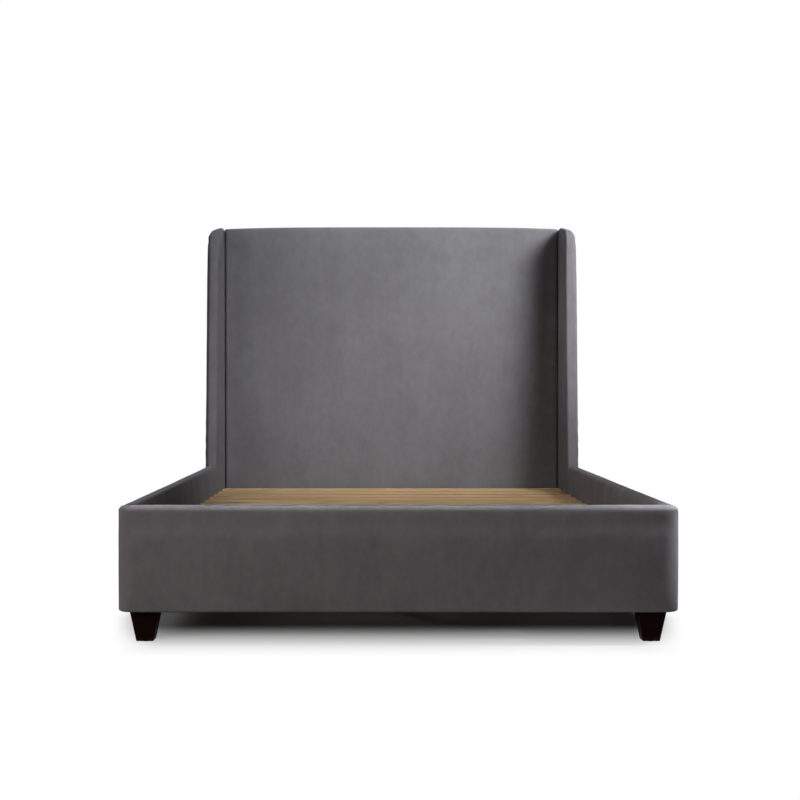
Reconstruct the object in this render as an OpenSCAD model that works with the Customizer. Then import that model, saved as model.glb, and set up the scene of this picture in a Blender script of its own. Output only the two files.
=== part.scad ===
// Upholstered bed frame with a winged headboard, for a queen mattress.
// Millimetres. X runs across the bed, Y from foot to head, Z up. The origin is on the
// floor, in the middle of the bed.

/* [Mattress] */
// Width of the mattress that the frame takes
mattress_w = 1524; // [1370:1:1830]
// Length of the mattress that the frame takes
mattress_l = 2032; // [1900:1:2130]
// Gap between the mattress and each side rail
side_gap = 13; // [6:1:30]
// Gap between the mattress and the footboard
foot_gap = 20; // [6:1:40]
// Gap between the mattress and the headboard
head_gap = 6; // [2:1:20]
// Depth of the slats' top face below the top of the side rails
mattress_sink = 119; // [90:1:130]

/* [Cloth and padding] */
// Thickness of the velvet
cover_t = 2; // [1.5:0.1:2.5]
// Padding on the outer face of the side rails
side_foam_t = 12; // [10:1:14]
// Padding on the inner face of the side rails
rail_inner_foam_t = 10; // [8:1:12]
// Padding on top of the side rails and the footboard
top_foam_t = 14; // [12:1:18]
// Swell of the footboard's front face
foot_crown = 4; // [2:0.5:6]
// Swell of the outer faces of the side rails and the wings
side_crown = 3; // [1:0.5:5]
// Swell of the headboard's front face
head_crown = 8; // [4:0.5:12]

/* [Side rails] */
// Whole thickness of a padded side rail
rail_t = 50; // [48:1:60]
// Height of the side rails and the footboard
rail_h = 313; // [290:1:350]
// Width of the cleats that carry the slats
cleat_w = 30; // [26:1:36]
// Height of the cleats
cleat_h = 40; // [34:1:44]
// Number of screws in each long cleat
cleat_screw_n = 6; // [4:1:8]

/* [Footboard] */
// Whole thickness of the padded footboard
foot_t = 62; // [60:1:72]
// Padding on the front of the footboard
foot_front_foam_t = 18; // [14:1:20]
// Padding on the back of the footboard
foot_back_foam_t = 8; // [6:1:10]
// Radius of the footboard's front corners, seen from above
foot_corner_r = 30; // [24:1:34]
// Rounding of the footboard's and the rails' top edges
top_round = 18; // [14:1:22]

/* [Headboard] */
// Height of the headboard in the middle
head_h = 1500; // [1300:1:1600]
// Whole thickness of the padded headboard panel
panel_t = 100; // [94:1:120]
// Rise of the headboard's top edge from its ends to its middle
head_arch = 9; // [6:1:16]
// Padding on the front of the headboard
head_foam_t = 18; // [16:1:24]
// Thickness of the plywood facing
facing_t = 8; // [6:1:10]
// Distance from the headboard's top edge, at its ends, down to its timber frame
head_top_foam_t = 17; // [16:1:24]
// Width of the timber uprights
stile_w = 45; // [40:1:50]
// Height of the top and middle cross bars
bar_h = 70; // [60:1:90]
// Height of the middle cross bar's centre above the floor
middle_bar_z = 860; // [760:1:960]
// Width of the velvet border on the back
back_border = 45; // [40:1:60]

/* [Wings] */
// Whole thickness of a wing
wing_t = 50; // [46:1:56]
// Distance from the headboard's height down to the front of the wings' tops
wing_drop = 24; // [14:1:30]
// Rise of a wing's top from its front to its back
wing_climb = 14; // [8:1:18]
// Depth of a wing in front of the headboard, at the top
wing_top_depth = 208; // [170:1:230]
// Depth of a wing in front of the headboard, at the side rail
wing_low_depth = 285; // [250:1:320]
// Height of the rounding of a wing's top
wing_round_h = 55; // [50:1:65]
// Rounding of a wing's front top corner, seen from the side
wing_round_front = 55; // [45:1:70]
// Rounding of a wing's outer top edge, seen from the front
wing_round_outer = 40; // [30:1:40]
// Thickness of the wing's board
wing_board_t = 22; // [18:1:24]

/* [Legs] */
// Height of the legs with their glides
leg_h = 96; // [80:1:120]
// Width of a leg at its top
leg_top_w = 85; // [76:1:90]
// Width of a leg at its bottom
leg_bottom_w = 51; // [44:1:60]
// Width of the flat on a leg's edges
leg_flat = 3; // [2:0.5:5]
// Distance of a leg from the side of the bed
leg_side_inset = 30; // [26:1:34]
// Distance of a front leg from the footboard's front face
leg_front_inset = 33; // [30:1:38]
// Distance of a back leg from the back of the bed
leg_back_inset = 8; // [6:1:14]
// Radius of a glide
glide_r = 14; // [12:1:16]
// Thickness of a glide
glide_t = 3; // [2:0.5:4]

/* [Slats and beam] */
// Number of slats
slat_n = 14; // [10:1:16]
// Width of a slat
slat_w = 70; // [60:1:80]
// Thickness of a slat
slat_t = 19; // [16:1:22]
// Clearance at each end of a slat
slat_end_gap = 2; // [1:0.5:4]
// Distance from the footboard and the headboard to the nearest slat
slat_margin = 30; // [20:1:45]
// Width of the centre beam
beam_w = 60; // [50:1:70]
// Height of the centre beam
beam_h = 70; // [60:1:75]
// Thickness of the steel of the beam hangers
hanger_t = 2.5; // [2:0.5:3]
// Depth of a beam hanger's pocket
hanger_depth = 50; // [40:1:60]
// Width of the screw flange on each side of a beam hanger
hanger_flange = 22; // [18:1:26]
// Width of a support post
post_w = 45; // [42:1:50]
// Distance between the posts
post_pitch = 560; // [400:1:600]

/* [Levelling feet] */
// Height of a post's bottom end above the floor
post_lift = 34; // [30:1:40]
// Radius of a foot's pad
pad_r = 20; // [16:1:22]
// Thickness of a foot's pad
pad_h = 8; // [6:1:10]
// Radius of a foot's threaded stem
stem_r = 5; // [4:0.5:6]
// Length of a foot's threaded stem above its pad
stem_l = 66; // [55:1:70]
// Running clearance between a stem and its threaded sleeve
stem_clear = 0.05; // [0.03:0.01:0.08]
// Wall of the threaded sleeve
insert_wall = 2.5; // [2:0.5:3]
// Length of the threaded sleeve
insert_l = 25; // [20:1:30]

/* [Fittings] */
// Width of the corner blocks
block_w = 90; // [86:1:100]
// Height of the corner blocks
block_h = 130; // [126:1:134]
// Thickness of the steel plates across rail and wing
plate_t = 4; // [3:0.5:5]
// Length of the steel plates
plate_l = 160; // [150:1:200]
// Height of the steel plates
plate_h = 80; // [60:1:90]
// Radius of the bolts
bolt_r = 4; // [3:0.5:4.5]
// Radius across the corners of a bolt head
bolt_head_r = 7.5; // [7:0.5:8]
// Thickness of a bolt head
bolt_head_t = 5.5; // [4:0.5:6]
// Radius of the screws
screw_r = 2.5; // [2:0.5:3]
// Clearance round every bolt and screw
hole_clear = 0.1; // [0.05:0.01:0.2]

/* [Hidden] */

// Places across the bed
inner_x = mattress_w / 2 + side_gap;
rail_x = inner_x + rail_t;
wing_x = inner_x + wing_t;
leg_x = rail_x - leg_side_inset - leg_top_w / 2;

// Places along the bed
inner_l = mattress_l + foot_gap + head_gap;
bed_l = foot_t + inner_l + panel_t;
foot_y = -bed_l / 2;
foot_in_y = foot_y + foot_t;
head_y = bed_l / 2;
head_in_y = head_y - panel_t;
wing_low_y = head_in_y - wing_low_depth;
wing_top_y = head_in_y - wing_top_depth;
leg_front_y = foot_y + leg_front_inset + leg_top_w / 2;
leg_back_y = head_y - leg_back_inset - leg_top_w / 2;

// Heights
rail_top = leg_h + rail_h;
wing_top = head_h - wing_drop;
slat_top = rail_top - mattress_sink;
cleat_top = slat_top - slat_t;
beam_z = cleat_top - beam_h;

// Boards inside the padding
foot_board_z = rail_top - cover_t - top_foam_t;
foot_end_foam_t = 10;
foot_board_x = rail_x - cover_t - foot_end_foam_t;
foot_board_y = foot_y + cover_t + foot_front_foam_t;
foot_board_back_y = foot_in_y - cover_t - foot_back_foam_t;
rail_board_x = rail_x - cover_t - side_foam_t;
rail_board_in_x = inner_x + cover_t + rail_inner_foam_t;
wing_board_x = wing_x - (wing_t - wing_board_t) / 2;
wing_board_in_x = wing_board_x - wing_board_t;
wing_edge_foam_t = 12;
wing_back_foam_t = 6;
wing_top_foam_t = 23;
wing_board_back_y = head_y - cover_t - wing_back_foam_t;
wing_board_top = wing_top - cover_t - wing_top_foam_t;
wing_board_corner = 32;
wing_slope = (wing_top_y - wing_low_y) / (wing_top - rail_top);
facing_y = head_in_y + cover_t + head_foam_t;
frame_y = facing_y + facing_t;
frame_d = head_y - cover_t - frame_y;
stile_x = inner_x - cover_t;
frame_top = head_h - head_arch - head_top_foam_t;

// Soft edges: rounding of the headboard's and the rails' edges
head_round_h = 14;
head_round_front = 16;
head_round_back = 10;
foot_round_front = top_round + 4;
foot_round_end = top_round + 2;
wing_round_back = 20;
wing_round_inner = 5;
wing_inner_fall = 8;
wing_corner_outer = 12;
wing_corner_inner = 8;
butt_corner = 5;

// Number of points and levels of a padded form
arc_n = 3;
top_n = 5;

// How far a cutting tool reaches past the face it cuts
slack = 1;
// Gap left where two pieces meet end to end
end_gap = 1;

function mix(a, b, t) = a + (b - a) * t;
// Share of the full swell at the place t, from 0 at one edge to 1 at the other
function swell(t) = 1 - pow(abs(2 * t - 1), 4);

// One edge of a ring, from its start to its end: a corner, the middle points, a corner
function edge_points(x0, x1, y, r, dir, n_mid) = concat(
    [for (k = [0:arc_n])
        let (a = 90 * k / arc_n)
        [x0 + r * (1 - cos(a)), y + dir * r * (1 - sin(a))]],
    [for (i = [1:n_mid]) [mix(x0 + r, x1 - r, i / (n_mid + 1)), y]],
    [for (k = [arc_n:-1:0])
        let (a = 90 * k / arc_n)
        [x1 - r * (1 - cos(a)), y + dir * r * (1 - sin(a))]]
);

function reversed(list) = [for (i = [len(list) - 1:-1:0]) list[i]];

// Share of its easing that a side has at the height z, which starts fall below the top
function top_share(z, z_top, fall, off) =
    let (t = min(1, max(0, 1 - (z_top - off - z) / max(1, fall - off))))
    1 - sqrt(1 - t * t);

// Rings of a padded form, bottom to top. It fills x0 to x1, y0 to y1 and the heights
// levels[0] to z_top. ease is how far the sides x0, x1, y0 and y1 draw in at the top, and
// fall how far below the top each starts. corner holds the radii at y0 and y1 seen from
// above, crown is the swell of the side y0, lean how far x0 moves with each mm of height
// above lean_z, arch the drop of the top at its two ends, climb its rise from x0 to x1,
// and off the depth of this skin below the surface.
function pad_rings(x0, x1, y0, y1, levels, z_top, ease, fall, corner, crown,
        n_mid, soft_foot = true, lean = 0, lean_z = 0, arch = 0, climb = 0, off = 0) =
    let (
        round_h = max(fall),
        z_round = z_top - round_h,
        z_low = levels[0],
        n_low = len(levels)
    )
    [for (k = [0:n_low + top_n - 1])
        let (
            a = k < n_low ? 0 : 90 * (k - n_low + 1) / top_n,
            z = k < n_low ? levels[k] : z_round + (round_h - off) * sin(a),
            g = [for (side_fall = fall) top_share(z, z_top, side_fall, off)],
            xa = x0 + off + max(0, ease[0] - off) * g[0] + lean * max(0, z - lean_z),
            xb = x1 - off - max(0, ease[1] - off) * g[1],
            ya = y0 + off + max(0, ease[2] - off) * g[2],
            yb = y1 - off - max(0, ease[3] - off) * g[3],
            room = 0.45 * min(xb - xa, yb - ya),
            ra = min(room, max(1, corner[0] - off)),
            rb = min(room, max(1, corner[1] - off)),
            v = (z - z_low) / (z_top - z_low),
            sv = soft_foot || v > 0.5 ? swell(v) : 1,
            front = edge_points(xa, xb, ya, ra, 1, n_mid),
            back = reversed(edge_points(xa, xb, yb, rb, -1, n_mid))
        )
        [for (p = concat(front, back))
            let (
                u = (p[0] - xa) / (xb - xa),
                near = p[1] < (ya + yb) / 2 ? 1 : 0,
                rise = climb * u * u * (3 - 2 * u) - arch * pow(2 * u - 1, 4)
            )
            [p[0], p[1] + near * crown * (1 - swell(u) * sv) * (1 - g[2]),
                z + rise * v]]];

function flat(rings) = [for (ring = rings) for (p = ring) p];

// Faces of a stack of rings of m points, the first of them point number start
function wall_faces(rings, m, start, out) =
    [for (k = [0:rings - 2]) for (i = [0:m - 1])
        let (j = (i + 1) % m, lo = start + k * m, hi = lo + m)
        each out ? [[lo + i, hi + i, lo + j], [lo + j, hi + i, hi + j]]
                 : [[lo + i, lo + j, hi + i], [lo + j, hi + j, hi + i]]];

// Faces across one ring, as strips from its front edge to its back edge
function lid_faces(m, start, up) =
    [for (i = [0:m / 2 - 2])
        let (a = start + i, b = a + 1, c = start + m - 2 - i, d = start + m - 1 - i)
        each up ? [[a, d, b], [d, c, b]]
                : [[a, b, d], [d, b, c]]];

// Closed padded form
module pad_solid(rings) {
    m = len(rings[0]);
    n = len(rings);
    polyhedron(
        points = flat(rings),
        faces = concat(
            wall_faces(n, m, 0, true),
            lid_faces(m, (n - 1) * m, true),
            lid_faces(m, 0, false)
        ),
        convexity = 4
    );
}

// Sewn cover, open at the bottom, between an outer and an inner stack of rings
module pad_shell(outer, inner) {
    m = len(outer[0]);
    n = len(outer);
    s = n * m;
    rim = [for (i = [0:m - 1])
        let (j = (i + 1) % m)
        each [[i, j, s + i], [j, s + j, s + i]]];
    polyhedron(
        points = concat(flat(outer), flat(inner)),
        faces = concat(
            wall_faces(n, m, 0, true),
            lid_faces(m, (n - 1) * m, true),
            wall_faces(n, m, s, false),
            lid_faces(m, s + (n - 1) * m, false),
            rim
        ),
        convexity = 6
    );
}

function spaced(z0, z1, n) = [for (i = [0:n - 1]) mix(z0, z1, i / (n - 1))];
function four(value) = [value, value, value, value];

function headboard_rings(off) = pad_rings(
    -inner_x, inner_x, head_in_y, head_y,
    spaced(leg_h, head_h - head_round_h, 6), head_h,
    [0, 0, head_round_front, head_round_back], four(head_round_h),
    [butt_corner, butt_corner],
    head_crown, 7, soft_foot = false, arch = head_arch, off = off);

function footboard_rings(off) = pad_rings(
    -rail_x, rail_x, foot_y, foot_in_y,
    spaced(leg_h, rail_top - top_round, 4), rail_top,
    [foot_round_end, foot_round_end, foot_round_front, top_round], four(top_round),
    [foot_corner_r, butt_corner], foot_crown, 9, off = off);

// The side pieces are drawn with X along the bed and turned to their place
function rail_rings(off) = pad_rings(
    foot_in_y, wing_low_y, -rail_x, -inner_x,
    spaced(leg_h, rail_top - top_round, 3), rail_top,
    [0, 0, top_round, top_round], four(top_round),
    [butt_corner, butt_corner], side_crown, 3, off = off);

function wing_rings(off) = pad_rings(
    wing_low_y, head_y, -wing_x, -inner_x,
    concat([leg_h], spaced(rail_top, wing_top - wing_round_h, 5)), wing_top,
    [wing_round_front, wing_round_back, wing_round_outer, wing_round_inner],
    [wing_round_h, wing_round_back, wing_round_h, wing_inner_fall],
    [wing_corner_outer, wing_corner_inner], side_crown, 3,
    lean = wing_slope, lean_z = rail_top, climb = wing_climb, off = off);

module side(left) {
    mirror([left ? 1 : 0, 0, 0]) children();
}

module box(x0, x1, y0, y1, z0, z1) {
    translate([x0, y0, z0]) cube([x1 - x0, y1 - y0, z1 - z0]);
}

// A round bar from a point, along +X or along an axis turned from it
module bar_x(x0, x1, y, z, r) {
    translate([x0, y, z]) rotate([0, 90, 0]) cylinder(h = x1 - x0, r = r, $fn = 32);
}

module bar_y(x, y0, y1, z, r) {
    translate([x, y0, z]) rotate([-90, 0, 0]) cylinder(h = y1 - y0, r = r, $fn = 32);
}

module bar_z(x, y, z0, z1, r) {
    translate([x, y, z0]) cylinder(h = z1 - z0, r = r, $fn = 32);
}

// Cross bars of the headboard: height of each one's centre, and its own height
bottom_bar_margin = 10;
bottom_bar_h = beam_h + 2 * bottom_bar_margin;
bottom_bar_z = beam_z + beam_h / 2;
bar_places = [
    [bottom_bar_z, bottom_bar_h],
    [middle_bar_z, bar_h],
    [frame_top - bar_h / 2, bar_h]
];

// Board left beyond the end of a bolt, and how deep the short fittings bite
bolt_cover = 6;
fitting_bite = 14;

// Wing bolts: places clear of the cross bars, and their holes
wing_bolt_rise = 20;
wing_bolt_drop = 95;
wing_bolt_y = frame_y + frame_d / 2;
wing_bolt_z = [
    bottom_bar_z + bottom_bar_h / 2 + wing_bolt_rise,
    middle_bar_z - bar_h / 2 - wing_bolt_drop,
    frame_top - bar_h - wing_bolt_drop
];
wing_bolt_end_x = wing_board_x - bolt_cover;

module wing_bolt_holes() {
    for (z = wing_bolt_z)
        bar_x(stile_x - stile_w - slack, wing_bolt_end_x + slack, wing_bolt_y, z,
            bolt_r + hole_clear);
}

module wing_bolts() {
    color("silver")
    for (left = [false, true], z = wing_bolt_z)
        side(left) {
            bar_x(stile_x - stile_w, wing_bolt_end_x, wing_bolt_y, z, bolt_r);
            translate([stile_x - stile_w - bolt_head_t, wing_bolt_y, z])
                rotate([0, 90, 0])
                cylinder(h = bolt_head_t, r = bolt_head_r, $fn = 6);
        }
}

// Screws through the uprights into the ends of the cross bars
frame_screw_l = 90;
frame_screw_r = 3.5;
frame_screw_head_r = 5;
frame_screw_head_t = 4;

module frame_screw_holes() {
    for (bar = bar_places, s = [-1, 1])
        bar_x(stile_x - frame_screw_l - slack, stile_x + slack,
            frame_y + frame_d / 2, bar[0] + s * bar[1] / 4, frame_screw_r + hole_clear);
    for (bar = bar_places, s = [-1, 1])
        bar_x(stile_x - frame_screw_head_t - hole_clear, stile_x + slack,
            frame_y + frame_d / 2, bar[0] + s * bar[1] / 4, frame_screw_head_r + hole_clear);
}

module frame_screws() {
    color("silver")
    for (left = [false, true], bar = bar_places, s = [-1, 1])
        side(left) {
            bar_x(stile_x - frame_screw_l, stile_x - frame_screw_head_t,
                frame_y + frame_d / 2, bar[0] + s * bar[1] / 4, frame_screw_r);
            bar_x(stile_x - frame_screw_head_t, stile_x,
                frame_y + frame_d / 2, bar[0] + s * bar[1] / 4, frame_screw_head_r);
        }
}

// Outline of an upright from above, with its outer back edge eased under the cover
module stile_outline() {
    ease = butt_corner - cover_t;
    polygon([
        [stile_x - stile_w, frame_y], [stile_x, frame_y],
        [stile_x, frame_y + frame_d - ease], [stile_x - ease, frame_y + frame_d],
        [stile_x - stile_w, frame_y + frame_d]
    ]);
}

module headboard_stile(left) {
    color("burlywood")
    side(left) difference() {
        translate([0, 0, leg_h])
            linear_extrude(height = frame_top - leg_h) stile_outline();
        wing_bolt_holes();
        frame_screw_holes();
        leg_bolt_hole(leg_back_y);
    }
}

module headboard_bar(z, h) {
    color("burlywood")
    difference() {
        box(stile_w - stile_x, stile_x - stile_w, frame_y, frame_y + frame_d,
            z - h / 2, z + h / 2);
        frame_screw_holes();
        mirror([1, 0, 0]) frame_screw_holes();
        hanger_screw_holes(1);
    }
}

module headboard_board() {
    color("tan")
    difference() {
        box(-stile_x, stile_x, facing_y, frame_y, leg_h, frame_top);
        hanger_screw_holes(1);
    }
}

module headboard_foam() {
    color("khaki")
    difference() {
        pad_solid(headboard_rings(cover_t));
        box(-inner_x - slack, inner_x + slack, facing_y, head_y + slack,
            leg_h - slack, frame_top);
        hanger_screw_holes(1);
    }
}

module headboard_cover() {
    color("dimgray")
    difference() {
        pad_shell(headboard_rings(0), headboard_rings(cover_t));
        back_opening(0);
        wing_bolt_holes();
        mirror([1, 0, 0]) wing_bolt_holes();
        hanger_screw_holes(1);
    }
}

// Opening of the velvet on the back, filled by the back cloth
module back_opening(clear) {
    box(back_border - inner_x + clear, inner_x - back_border - clear,
        head_y - cover_t, head_y + (clear > 0 ? 0 : slack),
        leg_h - (clear > 0 ? 0 : slack), frame_top - back_border - clear);
}

module headboard_back_cloth() {
    color("black") back_opening(0.3);
}

// Outline of a wing's board from the side: along the bed, and up
function wing_edge_y(z) =
    wing_low_y + cover_t + wing_edge_foam_t + wing_slope * max(0, z - rail_top);

module wing_outline() {
    corner_z = wing_board_top - wing_board_corner;
    corner_y = wing_edge_y(corner_z) + wing_board_corner;
    polygon(concat(
        [[wing_edge_y(leg_h), leg_h], [wing_board_back_y, leg_h]],
        [[wing_board_back_y, wing_board_top]],
        [for (a = [90:15:180])
            [corner_y + wing_board_corner * cos(a), corner_z + wing_board_corner * sin(a)]],
        [[wing_edge_y(rail_top), rail_top]]
    ));
}

module wing_board_shape() {
    translate([wing_board_in_x, 0, 0])
        rotate([90, 0, 90])
        linear_extrude(height = wing_board_t) wing_outline();
}

module wing_board(left) {
    color("tan")
    side(left) difference() {
        wing_board_shape();
        wing_bolt_holes();
        plate_bolt_holes();
        cleat_screw_holes();
    }
}

module wing_foam(left) {
    color("khaki")
    side(left) difference() {
        rotate([0, 0, 90]) pad_solid(wing_rings(cover_t));
        wing_board_shape();
        translate([0, 0, -slack]) wing_board_shape();
        wing_bolt_holes();
        plate_bolt_holes();
        cleat_screw_holes();
    }
}

module wing_cover(left) {
    color("dimgray")
    side(left) difference() {
        rotate([0, 0, 90]) pad_shell(wing_rings(0), wing_rings(cover_t));
        wing_bolt_holes();
        plate_bolt_holes();
        cleat_screw_holes();
    }
}

// Corner blocks and their bolts: two into the footboard, two into the side rail
block_x = inner_x - block_w;
block_back_y = foot_in_y + block_w;
foot_bolt_x = block_x + block_w / 3;
foot_bolt_z = [for (t = [0.26, 0.72]) leg_h + t * block_h];
rail_bolt_y = block_back_y - block_w / 3;
rail_bolt_z = [for (t = [0.42, 0.88]) leg_h + t * block_h];
foot_bolt_end_y = foot_board_y + bolt_cover;
rail_bolt_end_x = rail_board_x - bolt_cover;

module corner_bolt_holes() {
    for (z = foot_bolt_z)
        bar_y(foot_bolt_x, foot_bolt_end_y - slack, block_back_y + slack, z,
            bolt_r + hole_clear);
    for (z = rail_bolt_z)
        bar_x(block_x - slack, rail_bolt_end_x + slack, rail_bolt_y, z,
            bolt_r + hole_clear);
}

module corner_bolts() {
    color("silver")
    for (left = [false, true])
        side(left) {
            for (z = foot_bolt_z) {
                bar_y(foot_bolt_x, foot_bolt_end_y, block_back_y, z, bolt_r);
                translate([foot_bolt_x, block_back_y, z])
                    rotate([-90, 0, 0])
                    cylinder(h = bolt_head_t, r = bolt_head_r, $fn = 6);
            }
            for (z = rail_bolt_z) {
                bar_x(block_x, rail_bolt_end_x, rail_bolt_y, z, bolt_r);
                translate([block_x - bolt_head_t, rail_bolt_y, z])
                    rotate([0, 90, 0])
                    cylinder(h = bolt_head_t, r = bolt_head_r, $fn = 6);
            }
        }
}

module corner_block(left) {
    color("burlywood")
    side(left) difference() {
        box(block_x, inner_x, foot_in_y, block_back_y, leg_h, leg_h + block_h);
        corner_bolt_holes();
        leg_bolt_hole(leg_front_y);
    }
}

module footboard_board_shape(extra) {
    box(-foot_board_x, foot_board_x, foot_board_y, foot_board_back_y,
        leg_h - extra, foot_board_z);
}

// Holes of every fitting that goes into the footboard
module footboard_holes() {
    corner_bolt_holes();
    mirror([1, 0, 0]) corner_bolt_holes();
    hanger_screw_holes(-1);
}

module footboard_board() {
    color("tan")
    difference() {
        footboard_board_shape(0);
        footboard_holes();
    }
}

module footboard_foam() {
    color("khaki")
    difference() {
        pad_solid(footboard_rings(cover_t));
        footboard_board_shape(slack);
        footboard_holes();
    }
}

module footboard_cover() {
    color("dimgray")
    difference() {
        pad_shell(footboard_rings(0), footboard_rings(cover_t));
        footboard_holes();
    }
}

// Holes of every fitting that goes into a side rail
module rail_holes() {
    corner_bolt_holes();
    plate_bolt_holes();
    cleat_screw_holes();
}

module rail_board_shape(extra) {
    box(rail_board_in_x, rail_board_x, foot_in_y + cover_t - extra,
        wing_low_y - cover_t + extra, leg_h - extra, foot_board_z);
}

module rail_board(left) {
    color("tan")
    side(left) difference() {
        rail_board_shape(0);
        rail_holes();
    }
}

module rail_foam(left) {
    color("khaki")
    side(left) difference() {
        rotate([0, 0, 90]) pad_solid(rail_rings(cover_t));
        rail_board_shape(slack);
        rail_holes();
    }
}

module rail_cover(left) {
    color("dimgray")
    side(left) difference() {
        rotate([0, 0, 90]) pad_shell(rail_rings(0), rail_rings(cover_t));
        rail_holes();
    }
}

// Cleats, with their screws into the rails and the wings
cleat_z = cleat_top - cleat_h;
cleat_screw_z = cleat_z + cleat_h / 4;
cleat_screw_end_x = rail_board_in_x + fitting_bite;
cleat_screw_margin = 60;
screw_head_t = 2;
cleat_screw_ys = concat(
    spaced(foot_in_y + cleat_screw_margin, wing_low_y - cleat_screw_margin, cleat_screw_n),
    [wing_low_y + cleat_screw_margin, head_in_y - cleat_screw_margin]
);

module cleat_screw_holes() {
    for (y = cleat_screw_ys)
        bar_x(inner_x - cleat_w - slack, cleat_screw_end_x + slack, y, cleat_screw_z,
            screw_r + hole_clear);
}

module cleat_screws() {
    color("silver")
    for (left = [false, true], y = cleat_screw_ys)
        side(left) {
            bar_x(inner_x - cleat_w, cleat_screw_end_x, y, cleat_screw_z, screw_r);
            bar_x(inner_x - cleat_w - screw_head_t, inner_x - cleat_w, y, cleat_screw_z,
                2 * screw_r);
        }
}

module cleat(left, y0, y1) {
    color("burlywood")
    side(left) difference() {
        box(inner_x - cleat_w, inner_x, y0, y1, cleat_z, cleat_top);
        cleat_screw_holes();
        slat_screw_holes();
    }
}

module rail_cleat(left) {
    cleat(left, foot_in_y, wing_low_y);
}

module wing_cleat(left) {
    cleat(left, wing_low_y + end_gap, head_in_y);
}

// Steel plates across the joint of rail and wing
plate_z = (leg_h + cleat_z) / 2;
plate_bolt_ys = [
    for (s = [-1, 1], t = [0.3, 0.8]) wing_low_y + s * t * plate_l / 2
];
plate_bolt_end_x = wing_board_in_x + fitting_bite;

module plate_bolt_holes() {
    for (y = plate_bolt_ys)
        bar_x(inner_x - plate_t - slack, plate_bolt_end_x + slack, y, plate_z,
            bolt_r + hole_clear);
}

module rail_plate(left) {
    color("dimgray")
    side(left) difference() {
        box(inner_x - plate_t, inner_x, wing_low_y - plate_l / 2,
            wing_low_y + plate_l / 2, plate_z - plate_h / 2, plate_z + plate_h / 2);
        plate_bolt_holes();
    }
}

module plate_bolts() {
    color("silver")
    for (left = [false, true], y = plate_bolt_ys)
        side(left) {
            bar_x(inner_x - plate_t, plate_bolt_end_x, y, plate_z, bolt_r);
            translate([inner_x - plate_t - bolt_head_t, y, plate_z])
                rotate([0, 90, 0])
                cylinder(h = bolt_head_t, r = bolt_head_r, $fn = 6);
        }
}

// Slats, screwed to the cleats
slat_ys = spaced(foot_in_y + slat_margin + slat_w / 2,
    head_in_y - slat_margin - slat_w / 2, slat_n);
slat_x = inner_x - slat_end_gap;
slat_screw_x = inner_x - cleat_w / 2;
slat_screw_l = slat_t + 0.4 * cleat_h;

module slat_screw_holes() {
    for (y = slat_ys) {
        bar_z(slat_screw_x, y, slat_top - slat_screw_l - slack, slat_top + slack,
            screw_r + hole_clear);
        bar_z(slat_screw_x, y, slat_top - screw_head_t - hole_clear,
            slat_top + slack, 2 * screw_r + hole_clear);
    }
}

module slats() {
    color("wheat")
    for (y = slat_ys)
        difference() {
            box(-slat_x, slat_x, y - slat_w / 2, y + slat_w / 2, cleat_top, slat_top);
            for (s = [-1, 1]) {
                bar_z(s * slat_screw_x, y, cleat_top - slack, slat_top + slack,
                    screw_r + hole_clear);
                bar_z(s * slat_screw_x, y, slat_top - screw_head_t - hole_clear,
                    slat_top + slack, 2 * screw_r + hole_clear);
            }
        }
}

module slat_screws() {
    color("silver")
    for (y = slat_ys, s = [-1, 1]) {
        bar_z(s * slat_screw_x, y, slat_top - slat_screw_l,
            slat_top - screw_head_t, screw_r);
        bar_z(s * slat_screw_x, y, slat_top - screw_head_t, slat_top,
            2 * screw_r);
    }
}

// Centre beam in two steel hangers
post_ys = [-post_pitch, 0, post_pitch];
post_bolt_l = 110;
post_bolt_deep = 2;
post_bolt_sink = bolt_head_t + post_bolt_deep;
post_bolt_room = 2;
beam_gap = 0.5;

module centre_beam() {
    color("burlywood")
    difference() {
        box(-beam_w / 2, beam_w / 2, foot_in_y + hanger_t + beam_gap,
            head_in_y - hanger_t - beam_gap, beam_z, cleat_top);
        for (y = post_ys) {
            bar_z(0, y, beam_z - slack, cleat_top + slack, bolt_r + hole_clear);
            bar_z(0, y, cleat_top - post_bolt_sink, cleat_top + slack,
                bolt_head_r + post_bolt_room);
        }
    }
}

hanger_x = beam_w / 2 + beam_gap;
hanger_screw_x = hanger_x + hanger_t + hanger_flange / 2;
hanger_screw_l = 30;

// end is -1 at the foot and 1 at the head
function hanger_face_y(end) = end < 0 ? foot_in_y : head_in_y;

module at_end(end) {
    translate([0, hanger_face_y(end), 0]) mirror([0, end < 0 ? 0 : 1, 0]) children();
}

module hanger_screw_holes(end) {
    at_end(end)
    for (sx = [-1, 1], t = [0.25, 0.75])
        bar_y(sx * hanger_screw_x, -hanger_screw_l - slack, hanger_t + slack,
            beam_z + t * beam_h, screw_r + hole_clear);
}

module beam_hanger(end) {
    color("gray")
    difference() {
        at_end(end) {
            box(-hanger_x - hanger_t - hanger_flange, hanger_x + hanger_t + hanger_flange,
                0, hanger_t, beam_z - hanger_t, cleat_top - end_gap);
            for (s = [0, 1])
                mirror([s, 0, 0])
                box(hanger_x, hanger_x + hanger_t, 0, hanger_depth,
                    beam_z - hanger_t, cleat_top - end_gap);
            box(-hanger_x - hanger_t, hanger_x + hanger_t, 0, hanger_depth,
                beam_z - hanger_t, beam_z);
        }
        hanger_screw_holes(end);
    }
}

module hanger_screws() {
    color("silver")
    for (end = [-1, 1])
        at_end(end)
        for (sx = [-1, 1], t = [0.25, 0.75]) {
            bar_y(sx * hanger_screw_x, -hanger_screw_l, hanger_t,
                beam_z + t * beam_h, screw_r);
            bar_y(sx * hanger_screw_x, hanger_t, hanger_t + screw_head_t,
                beam_z + t * beam_h, 2 * screw_r);
        }
}

// Support posts, their bolts and threaded sleeves
insert_r = stem_r + stem_clear + insert_wall;
stem_room = 0.6;
stem_travel = 16;

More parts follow.
